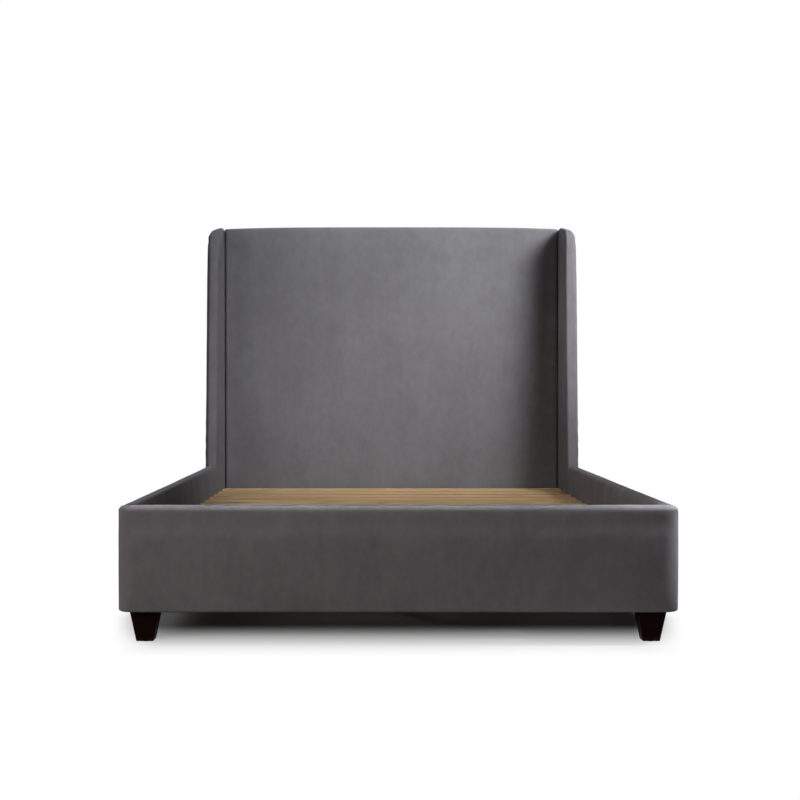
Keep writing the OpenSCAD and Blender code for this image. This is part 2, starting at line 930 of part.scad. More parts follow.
module support_posts() {
    color("burlywood")
    for (y = post_ys)
        difference() {
            box(-post_w / 2, post_w / 2, y - post_w / 2, y + post_w / 2,
                post_lift, beam_z);
            bar_z(0, y, post_lift - slack, post_lift + insert_l, insert_r);
            bar_z(0, y, post_lift - slack, pad_h + stem_l + stem_travel,
                stem_r + stem_room);
            bar_z(0, y, cleat_top - post_bolt_sink - post_bolt_l - slack,
                beam_z + slack, bolt_r + hole_clear);
        }
}

module post_bolts() {
    color("silver")
    for (y = post_ys) {
        bar_z(0, y, cleat_top - post_bolt_sink - post_bolt_l,
            cleat_top - post_bolt_sink, bolt_r);
        translate([0, y, cleat_top - post_bolt_sink])
            cylinder(h = bolt_head_t, r = bolt_head_r, $fn = 6);
    }
}

module foot_inserts() {
    color("silver")
    for (y = post_ys)
        difference() {
            bar_z(0, y, post_lift, post_lift + insert_l, insert_r);
            bar_z(0, y, post_lift - slack, post_lift + insert_l + slack,
                stem_r + stem_clear);
        }
}

module levelling_foot(i) {
    flats_h = 6;
    flats_r = 9;
    bevel_w = 6;
    bevel_h = 3;
    color("dimgray")
    translate([0, post_ys[i], 0]) {
        cylinder(h = pad_h - bevel_h, r = pad_r, $fn = 48);
        translate([0, 0, pad_h - bevel_h])
            cylinder(h = bevel_h, r1 = pad_r, r2 = pad_r - bevel_w, $fn = 48);
        translate([0, 0, pad_h]) cylinder(h = flats_h, r = flats_r, $fn = 6);
        translate([0, 0, pad_h]) cylinder(h = stem_l, r = stem_r, $fn = 32);
    }
}

// Tapered legs with hanger bolts and glides
leg_bolt_z = 0.58 * leg_h;
leg_bolt_l = 0.94 * leg_h;

module leg_bolt_hole(y) {
    bar_z(leg_x, y, leg_bolt_z - slack, leg_bolt_z + leg_bolt_l + slack,
        bolt_r + hole_clear);
}

module leg_section(w) {
    h = w / 2;
    c = leg_flat;
    polygon([
        [-h + c, -h], [h - c, -h], [h, -h + c], [h, h - c],
        [h - c, h], [-h + c, h], [-h, h - c], [-h, -h + c]
    ]);
}

module leg(left, y) {
    color([0.13, 0.08, 0.06])
    side(left) difference() {
        translate([leg_x, y, glide_t])
            linear_extrude(height = leg_h - glide_t, scale = leg_top_w / leg_bottom_w)
            leg_section(leg_bottom_w);
        leg_bolt_hole(y);
    }
}

module leg_bolts() {
    color("silver")
    for (left = [false, true], y = [leg_front_y, leg_back_y])
        side(left)
        bar_z(leg_x, y, leg_bolt_z, leg_bolt_z + leg_bolt_l, bolt_r);
}

module leg_glides() {
    color("black")
    for (left = [false, true], y = [leg_front_y, leg_back_y])
        side(left)
        bar_z(leg_x, y, 0, glide_t, glide_r);
}

headboard_stile(true);  // headboard_stile_left
headboard_stile(false);  // headboard_stile_right
headboard_bar(bar_places[0][0], bar_places[0][1]);  // headboard_bottom_bar
headboard_bar(bar_places[1][0], bar_places[1][1]);  // headboard_middle_bar
headboard_bar(bar_places[2][0], bar_places[2][1]);  // headboard_top_bar
headboard_board();
headboard_foam();
headboard_cover();
headboard_back_cloth();
frame_screws();
wing_board(true);  // wing_board_left
wing_board(false);  // wing_board_right
wing_foam(true);  // wing_foam_left
wing_foam(false);  // wing_foam_right
wing_cover(true);  // wing_cover_left
wing_cover(false);  // wing_cover_right
wing_bolts();
footboard_board();
footboard_foam();
footboard_cover();
corner_block(true);  // corner_block_left
corner_block(false);  // corner_block_right
corner_bolts();
rail_board(true);  // rail_board_left
rail_board(false);  // rail_board_right
rail_foam(true);  // rail_foam_left
rail_foam(false);  // rail_foam_right
rail_cover(true);  // rail_cover_left
rail_cover(false);  // rail_cover_right
rail_cleat(true);  // rail_cleat_left
rail_cleat(false);  // rail_cleat_right
wing_cleat(true);  // wing_cleat_left
wing_cleat(false);  // wing_cleat_right
cleat_screws();
rail_plate(true);  // rail_plate_left
rail_plate(false);  // rail_plate_right
plate_bolts();
slats();
slat_screws();
centre_beam();
beam_hanger(-1);  // beam_hanger_foot
beam_hanger(1);  // beam_hanger_head
hanger_screws();
support_posts();
post_bolts();
foot_inserts();
levelling_foot(0);  // levelling_foot_1
levelling_foot(1);  // levelling_foot_2
levelling_foot(2);  // levelling_foot_3
leg(true, leg_front_y);  // leg_front_left
leg(false, leg_front_y);  // leg_front_right
leg(true, leg_back_y);  // leg_back_left
leg(false, leg_back_y);  // leg_back_right
leg_bolts();
leg_glides();
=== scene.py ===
"""Finished look of an upholstered bed frame with a winged headboard: padded velvet pieces,
back cloth with its staples, finishes for timber and metal, and a plain studio.
"""
import math

import bpy
from mathutils import Matrix, Vector, noise


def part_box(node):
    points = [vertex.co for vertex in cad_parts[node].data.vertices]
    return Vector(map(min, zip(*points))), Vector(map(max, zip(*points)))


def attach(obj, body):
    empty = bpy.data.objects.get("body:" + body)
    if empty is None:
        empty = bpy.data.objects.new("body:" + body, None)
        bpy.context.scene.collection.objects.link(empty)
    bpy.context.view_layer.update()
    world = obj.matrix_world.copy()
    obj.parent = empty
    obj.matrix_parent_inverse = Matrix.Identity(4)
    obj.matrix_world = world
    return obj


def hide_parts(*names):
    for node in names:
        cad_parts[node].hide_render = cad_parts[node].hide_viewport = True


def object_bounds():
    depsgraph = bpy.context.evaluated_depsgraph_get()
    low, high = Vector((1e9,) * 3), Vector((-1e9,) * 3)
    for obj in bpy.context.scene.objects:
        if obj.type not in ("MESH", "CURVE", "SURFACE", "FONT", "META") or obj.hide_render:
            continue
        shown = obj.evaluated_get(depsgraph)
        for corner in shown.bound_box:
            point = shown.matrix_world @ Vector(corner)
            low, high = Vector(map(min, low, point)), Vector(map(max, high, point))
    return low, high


bl_info = {
    "name": "Winged bed frame",
    "version": (1, 0, 0),
    "blender": (4, 5, 0),
    "location": "3D View > Sidebar > Bed",
    "description": "Padded velvet pieces, finishes and studio of a winged bed frame",
    "category": "Object",
}

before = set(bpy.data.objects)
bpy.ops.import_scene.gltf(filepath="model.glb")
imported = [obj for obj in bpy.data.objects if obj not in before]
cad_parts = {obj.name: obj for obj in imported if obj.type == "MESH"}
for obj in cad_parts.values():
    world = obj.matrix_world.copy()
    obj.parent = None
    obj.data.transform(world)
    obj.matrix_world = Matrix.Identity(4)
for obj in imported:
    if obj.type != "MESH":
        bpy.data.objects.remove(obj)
CAD_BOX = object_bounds()
MM = 0.001

# Places read from the frame, in metres
PANEL_LOW, PANEL_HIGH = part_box("headboard_cover")
WING_LOW, WING_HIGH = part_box("wing_cover_right")
RAIL_LOW, RAIL_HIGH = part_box("rail_cover_right")
FOOT_LOW, FOOT_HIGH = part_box("footboard_cover")
CLOTH_LOW, CLOTH_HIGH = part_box("headboard_back_cloth")
HEM = 0.7 * MM  # how far the velvet reaches under the boards
CLOTH_RAISE = 1 * MM  # how far the back cloth starts above the headboard's lower edge

# Padding simulation
SIM_FRAMES = 20
POINT_MASS = 0.35  # of one point of the velvet, in kilograms
INWARD_HELD = 0.85  # share of an inward move that is taken back


# ---- Small helpers ----


def mm(*lengths):
    """Lengths in millimetres as a tuple in metres"""
    return tuple(length * MM for length in lengths)


def mix(a, b, t):
    return a + (b - a) * t


def clamp(t):
    return max(0.0, min(1.0, t))


def smooth(low, high, t):
    """0 below low, 1 above high, and a soft step between them"""
    t = clamp((t - low) / (high - low))
    return t * t * (3 - 2 * t)


def swell(t):
    """Share of the full swell at t, from 0 at one edge to 1 at the other"""
    return 1 - abs(2 * t - 1) ** 4


def clear_selection():
    """Leaves object mode active and nothing selected"""
    if bpy.context.mode != "OBJECT":
        bpy.ops.object.mode_set(mode="OBJECT")
    bpy.ops.object.select_all(action="DESELECT")


def make_active(piece):
    clear_selection()
    piece.select_set(True)
    bpy.context.view_layer.objects.active = piece


def apply_modifier(piece, modifier):
    make_active(piece)
    bpy.ops.object.modifier_apply(modifier=modifier.name)


def select_edges_along(mesh, axis):
    """Selects the edges of a straight-edged block that run along one axis"""
    others = [a for a in range(3) if a != axis]
    for edge in mesh.edges:
        a, b = (mesh.vertices[i].co for i in edge.vertices)
        edge.select = all(abs(a[k] - b[k]) < 1e-6 for k in others)


def cut_block(name, cuts):
    """A unit cube at the origin, cut into the given number of cells each way"""
    clear_selection()
    bpy.ops.mesh.primitive_cube_add(size=1, location=(0.5, 0.5, 0.5))
    block = bpy.context.object
    block.name = block.data.name = name
    bpy.ops.object.transform_apply(location=True, rotation=False, scale=False)
    for axis in range(3):
        if cuts[axis] == 1:
            continue
        bpy.ops.object.mode_set(mode="EDIT")
        bpy.ops.mesh.select_mode(type="EDGE")
        bpy.ops.mesh.select_all(action="DESELECT")
        bpy.ops.object.mode_set(mode="OBJECT")
        select_edges_along(block.data, axis)
        bpy.ops.object.mode_set(mode="EDIT")
        bpy.ops.mesh.subdivide(number_cuts=cuts[axis] - 1)
        bpy.ops.object.mode_set(mode="OBJECT")
    return block


def coordinates(mesh):
    """Vertex coordinates of a mesh as a list of vectors"""
    return [v.co.copy() for v in mesh.vertices]


def move_to(mesh, points):
    flat = [c for p in points for c in p]
    mesh.vertices.foreach_set("co", flat)
    mesh.update()


# ---- Padded forms ----


def soft_lines(length, cell, soft_low, soft_high):
    """Places of the grid lines along one side, closer together in its rounded ends"""
    steps = (0.0, 0.42, 0.73, 1.0)
    low = [soft_low * s for s in steps]
    high = [length - soft_high * s for s in reversed(steps)]
    middle = max(1, round((high[0] - low[-1]) / cell))
    between = [mix(low[-1], high[0], i / middle) for i in range(1, middle)]
    return low + between + high


class PadForm:
    """Rounded form of a pad, in its own frame: x runs along it, y through it, z up. ease is
    how far its four sides draw in at the top, fall how far below the top each starts, and
    corner the radius of its four upright edges, as corner[x end][y side]."""

    def __init__(self, low, high, ease, fall, corner, crown, cell, soft_foot=True, arch=0.0,
                 climb=0.0, lean=0.0, lean_z=0.0, foot_round=4 * MM, foot_side=1.0,
                 top_steps=6):
        self.low, self.high = low, high
        self.ease, self.fall, self.corner, self.crown = ease, fall, corner, crown
        self.soft_foot, self.arch, self.climb = soft_foot, arch, climb
        self.lean, self.lean_z, self.foot_side = lean, lean_z, foot_side
        self.round_h = round_h = max(fall)
        (r00, r01), (r10, r11) = corner
        self.lines_a = soft_lines(high[0] - low[0], cell, max(r00, r01), max(r10, r11))
        self.lines_b = soft_lines(high[1] - low[1], cell * 1.2, max(r00, r10),
                                  max(r01, r11))
        z_low, z_round = low[2] + foot_round, high[2] - round_h
        rows = max(2, round((z_round - z_low) / cell))
        self.levels = [
            (low[2] + foot_round * (1 - math.sin(math.radians(a))),
             foot_round * (1 - math.cos(math.radians(a))))
            for a in (90, 55, 25)
        ]
        self.levels += [(mix(z_low, z_round, i / rows), 0.0) for i in range(rows)]
        for i in range(top_steps + 1):
            a = math.radians(90 * i / top_steps)
            self.levels.append((z_round + round_h * math.sin(a), 0.0))

    def cells(self):
        return len(self.lines_a) - 1, len(self.lines_b) - 1, len(self.levels) - 1

    def drawn_in(self, side, z):
        """How far a side draws in at the height z"""
        t = clamp(1 - (self.high[2] - z) / self.fall[side])
        return self.ease[side] * (1 - math.sqrt(max(0.0, 1 - t * t)))

    def point(self, i, j, k):
        """Place of one grid point of the pad's skin"""
        z, foot = self.levels[k]
        z_low, z_top = self.low[2], self.high[2]
        xa = self.low[0] + self.drawn_in(0, z) + foot * self.foot_side
        xa += self.lean * max(0.0, z - self.lean_z)
        xb = self.high[0] - self.drawn_in(1, z) - foot * self.foot_side
        ya = self.low[1] + self.drawn_in(2, z) + foot
        yb = self.high[1] - self.drawn_in(3, z) - foot
        s = self.lines_a[i] / self.lines_a[-1]
        t = self.lines_b[j] / self.lines_b[-1]
        x, y = mix(xa, xb, s), mix(ya, yb, t)
        room = 0.45 * min(xb - xa, yb - ya)
        r = min(room, self.corner[s >= 0.5][t >= 0.5])
        dx = max(xa + r - x, x - (xb - r), 0.0) / r
        dy = max(ya + r - y, y - (yb - r), 0.0) / r
        if dx > 0 and dy > 0:
            shrink = max(dx, dy) / math.hypot(dx, dy)
            x = xa + r - r * dx * shrink if s < 0.5 else xb - r + r * dx * shrink
            y = ya + r - r * dy * shrink if t < 0.5 else yb - r + r * dy * shrink
        v = (z - z_low) / (z_top - z_low)
        u = (x - xa) / (xb - xa)
        sv = swell(v) if self.soft_foot or v > 0.5 else 1.0
        near = clamp(1 - 2 * t) * (1 - self.drawn_in(2, z) / self.ease[2])
        y += near * self.crown * (1 - swell(u) * sv)
        z += (self.climb * smooth(0.0, 0.42, u) - self.arch * (2 * u - 1) ** 4) * v
        return x, y, z


def shape_pad(name, form):
    """Builds the skin of a pad from a cut block; faces point outwards"""
    na, nb, nk = form.cells()
    pad = cut_block(name, (na, nb, nk))
    points = [
        form.point(round(p.x * na), round(p.y * nb), round(p.z * nk))
        for p in coordinates(pad.data)
    ]
    move_to(pad.data, points)
    return pad


def stuff_pad(pad, held, settings, cap):
    """Swells a pad with a short cloth simulation. held(co, normal) gives how firmly a point
    is held, 0 to 1, and no point moves further than cap."""
    mesh = pad.data
    before = coordinates(mesh)
    normals = [v.normal.copy() for v in mesh.vertices]
    grip = [held(co, n) for co, n in zip(before, normals)]
    group = pad.vertex_groups.new(name="held")
    for index, weight in enumerate(grip):
        group.add([index], weight, "REPLACE")
    cloth = pad.modifiers.new("stuffing", "CLOTH")
    sim = cloth.settings
    sim.quality = 4
    sim.mass = POINT_MASS
    sim.tension_stiffness = sim.compression_stiffness = settings.stiffness
    sim.shear_stiffness = settings.stiffness / 2
    sim.bending_stiffness = 1.5
    sim.use_pressure = True
    sim.uniform_pressure_force = settings.pressure
    sim.vertex_group_mass = group.name
    sim.effector_weights.gravity = 0
    cloth.collision_settings.use_collision = False
    cloth.collision_settings.use_self_collision = False
    cloth.point_cache.frame_start = 1
    cloth.point_cache.frame_end = SIM_FRAMES
    scene = bpy.context.scene
    for step in range(1, SIM_FRAMES + 1):
        scene.frame_set(step)
    apply_modifier(pad, cloth)
    scene.frame_set(1)
    pad.vertex_groups.clear()
    after = []
    for start, end, weight, normal in zip(before, coordinates(mesh), grip, normals):
        move = (end - start) * (1 - weight)
        inward = min(0.0, move.dot(normal))
        move -= normal * inward * INWARD_HELD
        after.append(start + move * (cap / (cap + move.length)))
    move_to(mesh, after)


def refine(pad):
    """One Catmull-Clark subdivision, applied, then smooth shading"""
    finer = pad.modifiers.new("finer", "SUBSURF")
    finer.levels = finer.render_levels = 1
    apply_modifier(pad, finer)
    make_active(pad)
    bpy.ops.object.shade_smooth()


def press(pad, depth):
    """Moves each point along its normal by depth(co, normal)"""
    mesh = pad.data
    mesh.update()
    points = [v.co + v.normal * depth(v.co, v.normal) for v in mesh.vertices]
    move_to(mesh, points)


def undulation(co, size, seed):
    """Smooth unevenness from -1 to 1 with waves of about the given size"""
    return noise.noise(co / size + Vector((seed, 0.37 * seed, 1.7 * seed)))


def loose_cloth(co, seed):
    """Unevenness of stretched velvet over foam, in metres"""
    return (0.9 * undulation(co, 0.23, seed) + 0.45 * undulation(co, 0.085, seed + 3)
            + 0.12 * undulation(co, 0.03, seed + 5)) * MM


def turn_to_side(pad, left):
    """Moves a pad from its own frame, drawn along X, to its side of the bed"""
    side = -1 if left else 1
    move_to(pad.data, [Vector((side * -co.y, co.x, co.z)) for co in coordinates(pad.data)])
    if left:
        pad.data.flip_normals()


def make_pad(name, form, held, depth, cap, wings=False):
    """Shapes, stuffs and finishes a pad, called after its CAD cover and foam. held and cap
    are as in stuff_pad, and depth as in press."""
    scene = bpy.context.scene
    pad = shape_pad(name, form)
    stuff_pad(pad, held, scene.bed_pads, cap)
    if name.endswith(("_left", "_right")):
        turn_to_side(pad, name.endswith("_left"))
    refine(pad)
    press(pad, depth)
    # on the wings the velvet carries painted shade on the inner faces and painted light on
    # the other faces
    pad.data.materials.append(velvet(scene.bed_velvet, wings))
    for part in ("cover", "foam"):
        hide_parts(name.replace("pad", part))
    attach(pad, "root")


# ---- Material helpers ----


def add(tree, kind, **settings):
    """Adds a node; its settings are attributes, or input sockets when written as a dict"""
    node = tree.nodes.new(kind)
    sockets = settings.pop("inputs", {})
    for key, value in settings.items():
        setattr(node, key, value)
    for key, value in sockets.items():
        if isinstance(value, bpy.types.NodeSocket):
            tree.links.new(value, node.inputs[key])
        else:
            node.inputs[key].default_value = value
    return node


def math_node(tree, operation, a, b=0.0, c=0.0):
    node = add(tree, "ShaderNodeMath", operation=operation,
               inputs={0: a, 1: b, 2: c})
    return node.outputs[0]


def times(tree, a, b):
    return math_node(tree, "MULTIPLY", a, b)


def weighed(tree, *parts):
    """Sum of values, each given with its weight"""
    total = times(tree, *parts[-1])
    for value, weight in reversed(parts[:-1]):
        total = math_node(tree, "MULTIPLY_ADD", value, weight, total)
    return total


def remap(tree, value, from_low, from_high, to_low=0.0, to_high=1.0, kind="SMOOTHSTEP"):
    node = add(tree, "ShaderNodeMapRange", interpolation_type=kind,
               inputs={0: value, 1: from_low, 2: from_high, 3: to_low, 4: to_high})
    return node.outputs[0]


def mix_colour(tree, amount, a, b):
    """Mix of two colours, each a socket or three numbers"""
    a, b = (c if isinstance(c, bpy.types.NodeSocket) else (*c, 1) for c in (a, b))
    return add(tree, "ShaderNodeMix", data_type="RGBA",
               inputs={0: amount, 6: a, 7: b}).outputs[2]


def axes(tree, vector):
    """The x, y and z parts of a vector"""
    return add(tree, "ShaderNodeSeparateXYZ", inputs={0: vector}).outputs


def noise_texture(tree, vector, scale, detail=2.0, roughness=0.5, distortion=0.0):
    node = add(tree, "ShaderNodeTexNoise",
               inputs={"Vector": vector, "Scale": scale, "Detail": detail,
                       "Roughness": roughness, "Distortion": distortion})
    return node.outputs["Fac"]


def mapping(tree, vector, scale=(1, 1, 1), turn=(0, 0, 0)):
    node = add(tree, "ShaderNodeMapping",
               inputs={"Vector": vector, "Scale": scale, "Rotation": turn})
    return node.outputs[0]


def shared_group(name, numbers, results, fill):
    """A node group, built once, with a vector and some numbers as inputs and numbers as
    results. fill(tree, in_sockets) returns the results' sockets by name."""
    group = bpy.data.node_groups.get(name)
    if group:
        return group
    group = bpy.data.node_groups.new(name, "ShaderNodeTree")
    sockets = group.interface
    sockets.new_socket("Vector", in_out="INPUT", socket_type="NodeSocketVector")
    for label, default in numbers.items():
        socket = sockets.new_socket(label, in_out="INPUT", socket_type="NodeSocketFloat")
        socket.default_value = default
    for label in results:
        sockets.new_socket(label, in_out="OUTPUT", socket_type="NodeSocketFloat")
    start = group.nodes.new("NodeGroupInput")
    end = group.nodes.new("NodeGroupOutput")
    for label, socket in fill(group, start.outputs).items():
        group.links.new(socket, end.inputs[label])
    return group


def use_group(tree, group, **inputs):
    node = tree.nodes.new("ShaderNodeGroup")
    node.node_tree = group
    for key, value in inputs.items():
        socket = node.inputs[key.replace("_", " ")]
        if isinstance(value, bpy.types.NodeSocket):
            tree.links.new(value, socket)
        else:
            socket.default_value = value
    return node.outputs


def fresh_tree(owner):
    """Empty node tree of a material or a world"""
    owner.use_nodes = True
    owner.node_tree.nodes.clear()
    return owner.node_tree


def show(tree, shader, kind="Material"):
    """Connects a shader to the tree's output"""
    end = tree.nodes.new("ShaderNodeOutput" + kind)
    tree.links.new(shader.outputs[0], end.inputs["Surface"])


def new_material(name, **sockets):
    """A material with a Principled shader; returns (material, tree, shader, place)"""
    material = bpy.data.materials.new(name)
    tree = fresh_tree(material)
    shader = tree.nodes.new("ShaderNodeBsdfPrincipled")
    for key, value in sockets.items():
        shader.inputs[key.replace("_", " ")].default_value = value
    show(tree, shader)
    place = tree.nodes.new("ShaderNodeTexCoord").outputs["Object"]
    return material, tree, shader, place


def dress(tree, shader, tone, rough, height, distance, strength=1.0):
    """Connects colour and roughness, and a relief whose height is in parts of distance"""
    tree.links.new(tone, shader.inputs["Base Color"])
    tree.links.new(rough, shader.inputs["Roughness"])
    bump = add(tree, "ShaderNodeBump",
               inputs={"Height": height, "Distance": distance, "Strength": strength})
    tree.links.new(bump.outputs[0], shader.inputs["Normal"])


# ---- Shared effects ----


def nap_group():
    """Velvet pile: soft patches where the pile lies differently, brush strokes, fibres"""

    def fill(tree, given):
        place, patch, fibre = given["Vector"], given["Patch"], given["Fibre"]
        patches = noise_texture(tree, place, patch, 3.0, 0.55, 0.5)
        small = noise_texture(tree, place, times(tree, patch, 4.3), 2.0, 0.5, 0.3)
        strokes = noise_texture(tree, mapping(tree, place, (1, 1, 0.16)),
                                times(tree, patch, 3.0), 2.0, 0.5)
        fine = noise_texture(tree, mapping(tree, place, (1, 1, 0.6)), 42.0, 4.0, 0.65, 0.4)
        tone = weighed(tree, (patches, 0.32), (small, 0.16), (strokes, 0.2), (fine, 0.32))
        fibres = noise_texture(tree, place, fibre, 2.0, 0.6)
        lay = noise_texture(tree, mapping(tree, place, (1, 1, 0.35)),
                            times(tree, fibre, 0.12), 3.0, 0.6)
        height = weighed(tree, (lay, 0.6), (fibres, 0.4))
        return {"Tone": remap(tree, tone, 0.3, 0.7), "Height": height, "Fibres": fibres}

    return shared_group("velvet_nap", {"Patch": 6.0, "Fibre": 900.0},
                        ("Tone", "Height", "Fibres"), fill)


def weave_group():
    """Plain weave: threads over and under, with uneven thickness"""

    def fill(tree, given):
        place, pitch = given["Vector"], given["Pitch"]
        turns = math_node(tree, "DIVIDE", math.pi, pitch)
        across, along = (
            math_node(tree, "SINE", times(tree, axes(tree, place)[k], turns))
            for k in (0, 2))
        over = times(tree, across, along)
        uneven = noise_texture(tree, place, 260.0, 2.0)
        height = weighed(tree, (over, 0.5), (uneven, 0.5))
        return {"Height": height, "Uneven": noise_texture(tree, place, 14.0, 3.0)}

    return shared_group("plain_weave", {"Pitch": 1.2 * MM}, ("Height", "Uneven"), fill)


def grain_group():
    """Sawn timber: year rings, fine fibres and a few knots. X runs along the grain."""

    def fill(tree, given):
        place, rings = given["Vector"], given["Rings"]
        long = mapping(tree, place, (0.10, 1, 1))
        drift = noise_texture(tree, long, 6.0, 2.0)
        parts = axes(tree, long)
        bend = math_node(tree, "MULTIPLY_ADD", drift, 0.16, parts[1])
        bend = math_node(tree, "MULTIPLY_ADD", parts[2], 0.6, bend)
        wave = math_node(tree, "SINE", times(tree, bend, rings))
        wave = math_node(tree, "MULTIPLY_ADD", wave, 0.5, 0.5)
        late = math_node(tree, "POWER", wave, 2.2)
        fibres = noise_texture(tree, mapping(tree, place, (0.04, 1, 1)), 420.0, 3.0, 0.6)
        tone = weighed(tree, (late, 0.55), (fibres, 0.45))
        knots = add(tree, "ShaderNodeTexVoronoi",
                    inputs={"Vector": mapping(tree, place, (0.55, 1, 1)), "Scale": 5.5})
        knot = remap(tree, knots.outputs["Distance"], 0.05, 0.11, 1.0, 0.0)
        return {"Grain": tone, "Knot": knot, "Fibres": fibres,
                "Board": noise_texture(tree, place, 1.3, 1.0)}

    return shared_group("timber_grain", {"Rings": 700.0},
                        ("Grain", "Knot", "Fibres", "Board"), fill)


def wear_group():
    """Dust and rubbing: soft blotches and fine scratches"""

    def fill(tree, given):
        place = given["Vector"]
        blotch = noise_texture(tree, place, given["Size"], 4.0, 0.6)
        scratch = noise_texture(tree, mapping(tree, place, (1, 0.06, 1), (0.2, 0.3, 0.6)),
                                900.0, 2.0, 0.5)
        return {"Blotch": remap(tree, blotch, 0.35, 0.7),
                "Scratch": remap(tree, scratch, 0.55, 0.75)}

    return shared_group("wear", {"Size": 18.0}, ("Blotch", "Scratch"), fill)


# ---- Finishes ----

WING_PAINTED_SHADE_AND_LIGHT = 0.84, 1.18  # painted shade on the wings' inner faces and painted light on their other faces, as factors on the velvet's colour


def velvet(settings, wings=False):
    """Grey velvet with a soft nap. The wings' copy carries painted shade on their inner
    faces and painted light on their other faces
    """
    name = "wing_velvet" if wings else "grey_velvet"
    found = bpy.data.materials.get(name)
    if found:
        return found
    material, tree, shader, place = new_material(
        name, Sheen_Weight=settings.sheen, Sheen_Roughness=0.42,
        Specular_IOR_Level=0.04)
    shader.inputs["Sheen Tint"].default_value = (*settings.sheen_colour, 1)
    nap = use_group(tree, nap_group(), Vector=place, Patch=settings.patch,
                    Fibre=settings.fibre)
    tone = mix_colour(tree, nap["Tone"], settings.shade_colour, settings.light_colour)
    tone = mix_colour(tree, remap(tree, nap["Fibres"], 0.3, 0.7, 0.0, 0.22), tone,
                      [c * 0.55 for c in settings.shade_colour])
    # painted shade and painted light: the colour is scaled by 0.84 at a wing's inner face,
    # rising to 1.18 within 10 mm outwards
    if wings:
        across = math_node(tree, "ABSOLUTE", axes(tree, place)[0])
        inner = remap(tree, across, WING_LOW[0] - 1 * MM, WING_LOW[0] + 9 * MM,
                      *WING_PAINTED_SHADE_AND_LIGHT)
        tone = add(tree, "ShaderNodeVectorMath", operation="SCALE",
                   inputs={0: tone, "Scale": inner}).outputs[0]
    dress(tree, shader, tone, remap(tree, nap["Tone"], 0, 1, 0.92, 0.8), nap["Height"],
          1.2 * MM, 0.35)
    return material


def back_fabric(settings):
    """Black cloth in a plain weave"""
    material, tree, shader, place = new_material(
        "black_back_cloth", Sheen_Weight=0.15, Specular_IOR_Level=0.2)
    weave = use_group(tree, weave_group(), Vector=place, Pitch=settings.thread_pitch)
    tone = mix_colour(tree, weave["Uneven"], (0.010, 0.010, 0.011), (0.024, 0.024, 0.026))
    dress(tree, shader, tone, remap(tree, weave["Uneven"], 0.2, 0.8, 0.85, 0.97),
          weave["Height"], 0.5 * MM, 0.6)
    return material


def pine(name, settings, turn):
    """Planed pine; turn brings the board's long side to X"""
    material, tree, shader, place = new_material(name, Specular_IOR_Level=0.3)
    grain = use_group(tree, grain_group(), Rings=settings.rings,
                      Vector=mapping(tree, place, turn=turn))
    tone = mix_colour(tree, grain["Grain"], settings.pine_light, settings.pine_dark)
    tone = mix_colour(tree, remap(tree, grain["Board"], 0.35, 0.65, 0.0, 0.25), tone,
                      [c * 0.7 for c in settings.pine_light])
    tone = mix_colour(tree, times(tree, grain["Knot"], 0.85), tone, (0.13, 0.055, 0.02))
    dress(tree, shader, tone, remap(tree, grain["Fibres"], 0.2, 0.8, 0.5, 0.72),
          grain["Grain"], 0.4 * MM, 0.5)
    return material


def plywood():
    """Plywood: face grain, and thin layers that show where an edge does"""
    material, tree, shader, place = new_material("plywood", Specular_IOR_Level=0.3)
    grain = use_group(tree, grain_group(), Vector=place, Rings=260.0)
    through = times(tree, axes(tree, place)[1], 4200.0)  # 1.5 mm layers
    layers = math_node(tree, "SINE", through)
    layers = remap(tree, layers, -0.2, 0.2, 0.0, 0.35)
    tone = mix_colour(tree, grain["Grain"], (0.55, 0.36, 0.19), (0.40, 0.24, 0.11))
    tone = mix_colour(tree, layers, tone, (0.27, 0.15, 0.07))
    dress(tree, shader, tone, remap(tree, grain["Fibres"], 0.2, 0.8, 0.6, 0.8),
          grain["Grain"], 0.3 * MM, 0.5)
    return material


def espresso_wood(settings):
    """Dark stained and lacquered legs, a little rubbed low down"""
    material, tree, shader, place = new_material(
        "espresso_wood", Specular_IOR_Level=0.012, Coat_Roughness=0.3)
    grain = use_group(tree, grain_group(), Rings=900.0,
                      Vector=mapping(tree, place, turn=(0, math.radians(90), 0)))
    wear = use_group(tree, wear_group(), Vector=place, Size=30.0)
    low = remap(tree, axes(tree, place)[2], 4 * MM, 22 * MM, 0.5, 0.0)
    tone = mix_colour(tree, grain["Grain"], settings.leg_dark, settings.leg_light)
    rubbed = times(tree, low, wear["Blotch"])
    tone = mix_colour(tree, rubbed, tone, (0.06, 0.03, 0.018))
    tree.links.new(remap(tree, wear["Blotch"], 0, 1, 0.012, 0.004),
                   shader.inputs["Coat Weight"])
    dress(tree, shader, tone, remap(tree, wear["Blotch"], 0, 1, 0.42, 0.55),
          grain["Grain"], 0.2 * MM, 0.35)
    return material


def zinc():
    """Bright zinc-plated steel"""
    material, tree, shader, place = new_material("zinc_steel", Metallic=1.0)
    wear = use_group(tree, wear_group(), Vector=place, Size=70.0)
    tone = mix_colour(tree, wear["Blotch"], (0.62, 0.62, 0.60), (0.44, 0.45, 0.45))
    dress(tree, shader, tone, remap(tree, wear["Blotch"], 0, 1, 0.28, 0.46),
          wear["Scratch"], 0.1 * MM, 0.3)
    return material


def black_steel():
    """Powder-coated steel"""
    material, tree, shader, place = new_material("black_steel", Specular_IOR_Level=0.5)
    wear = use_group(tree, wear_group(), Vector=place, Size=24.0)
    orange_peel = noise_texture(tree, place, 900.0, 2.0)
    tone = mix_colour(tree, wear["Blotch"], (0.016, 0.016, 0.017), (0.030, 0.030, 0.031))
    dress(tree, shader, tone, remap(tree, orange_peel, 0.3, 0.7, 0.38, 0.55), orange_peel,
          0.2 * MM, 0.5)
    return material


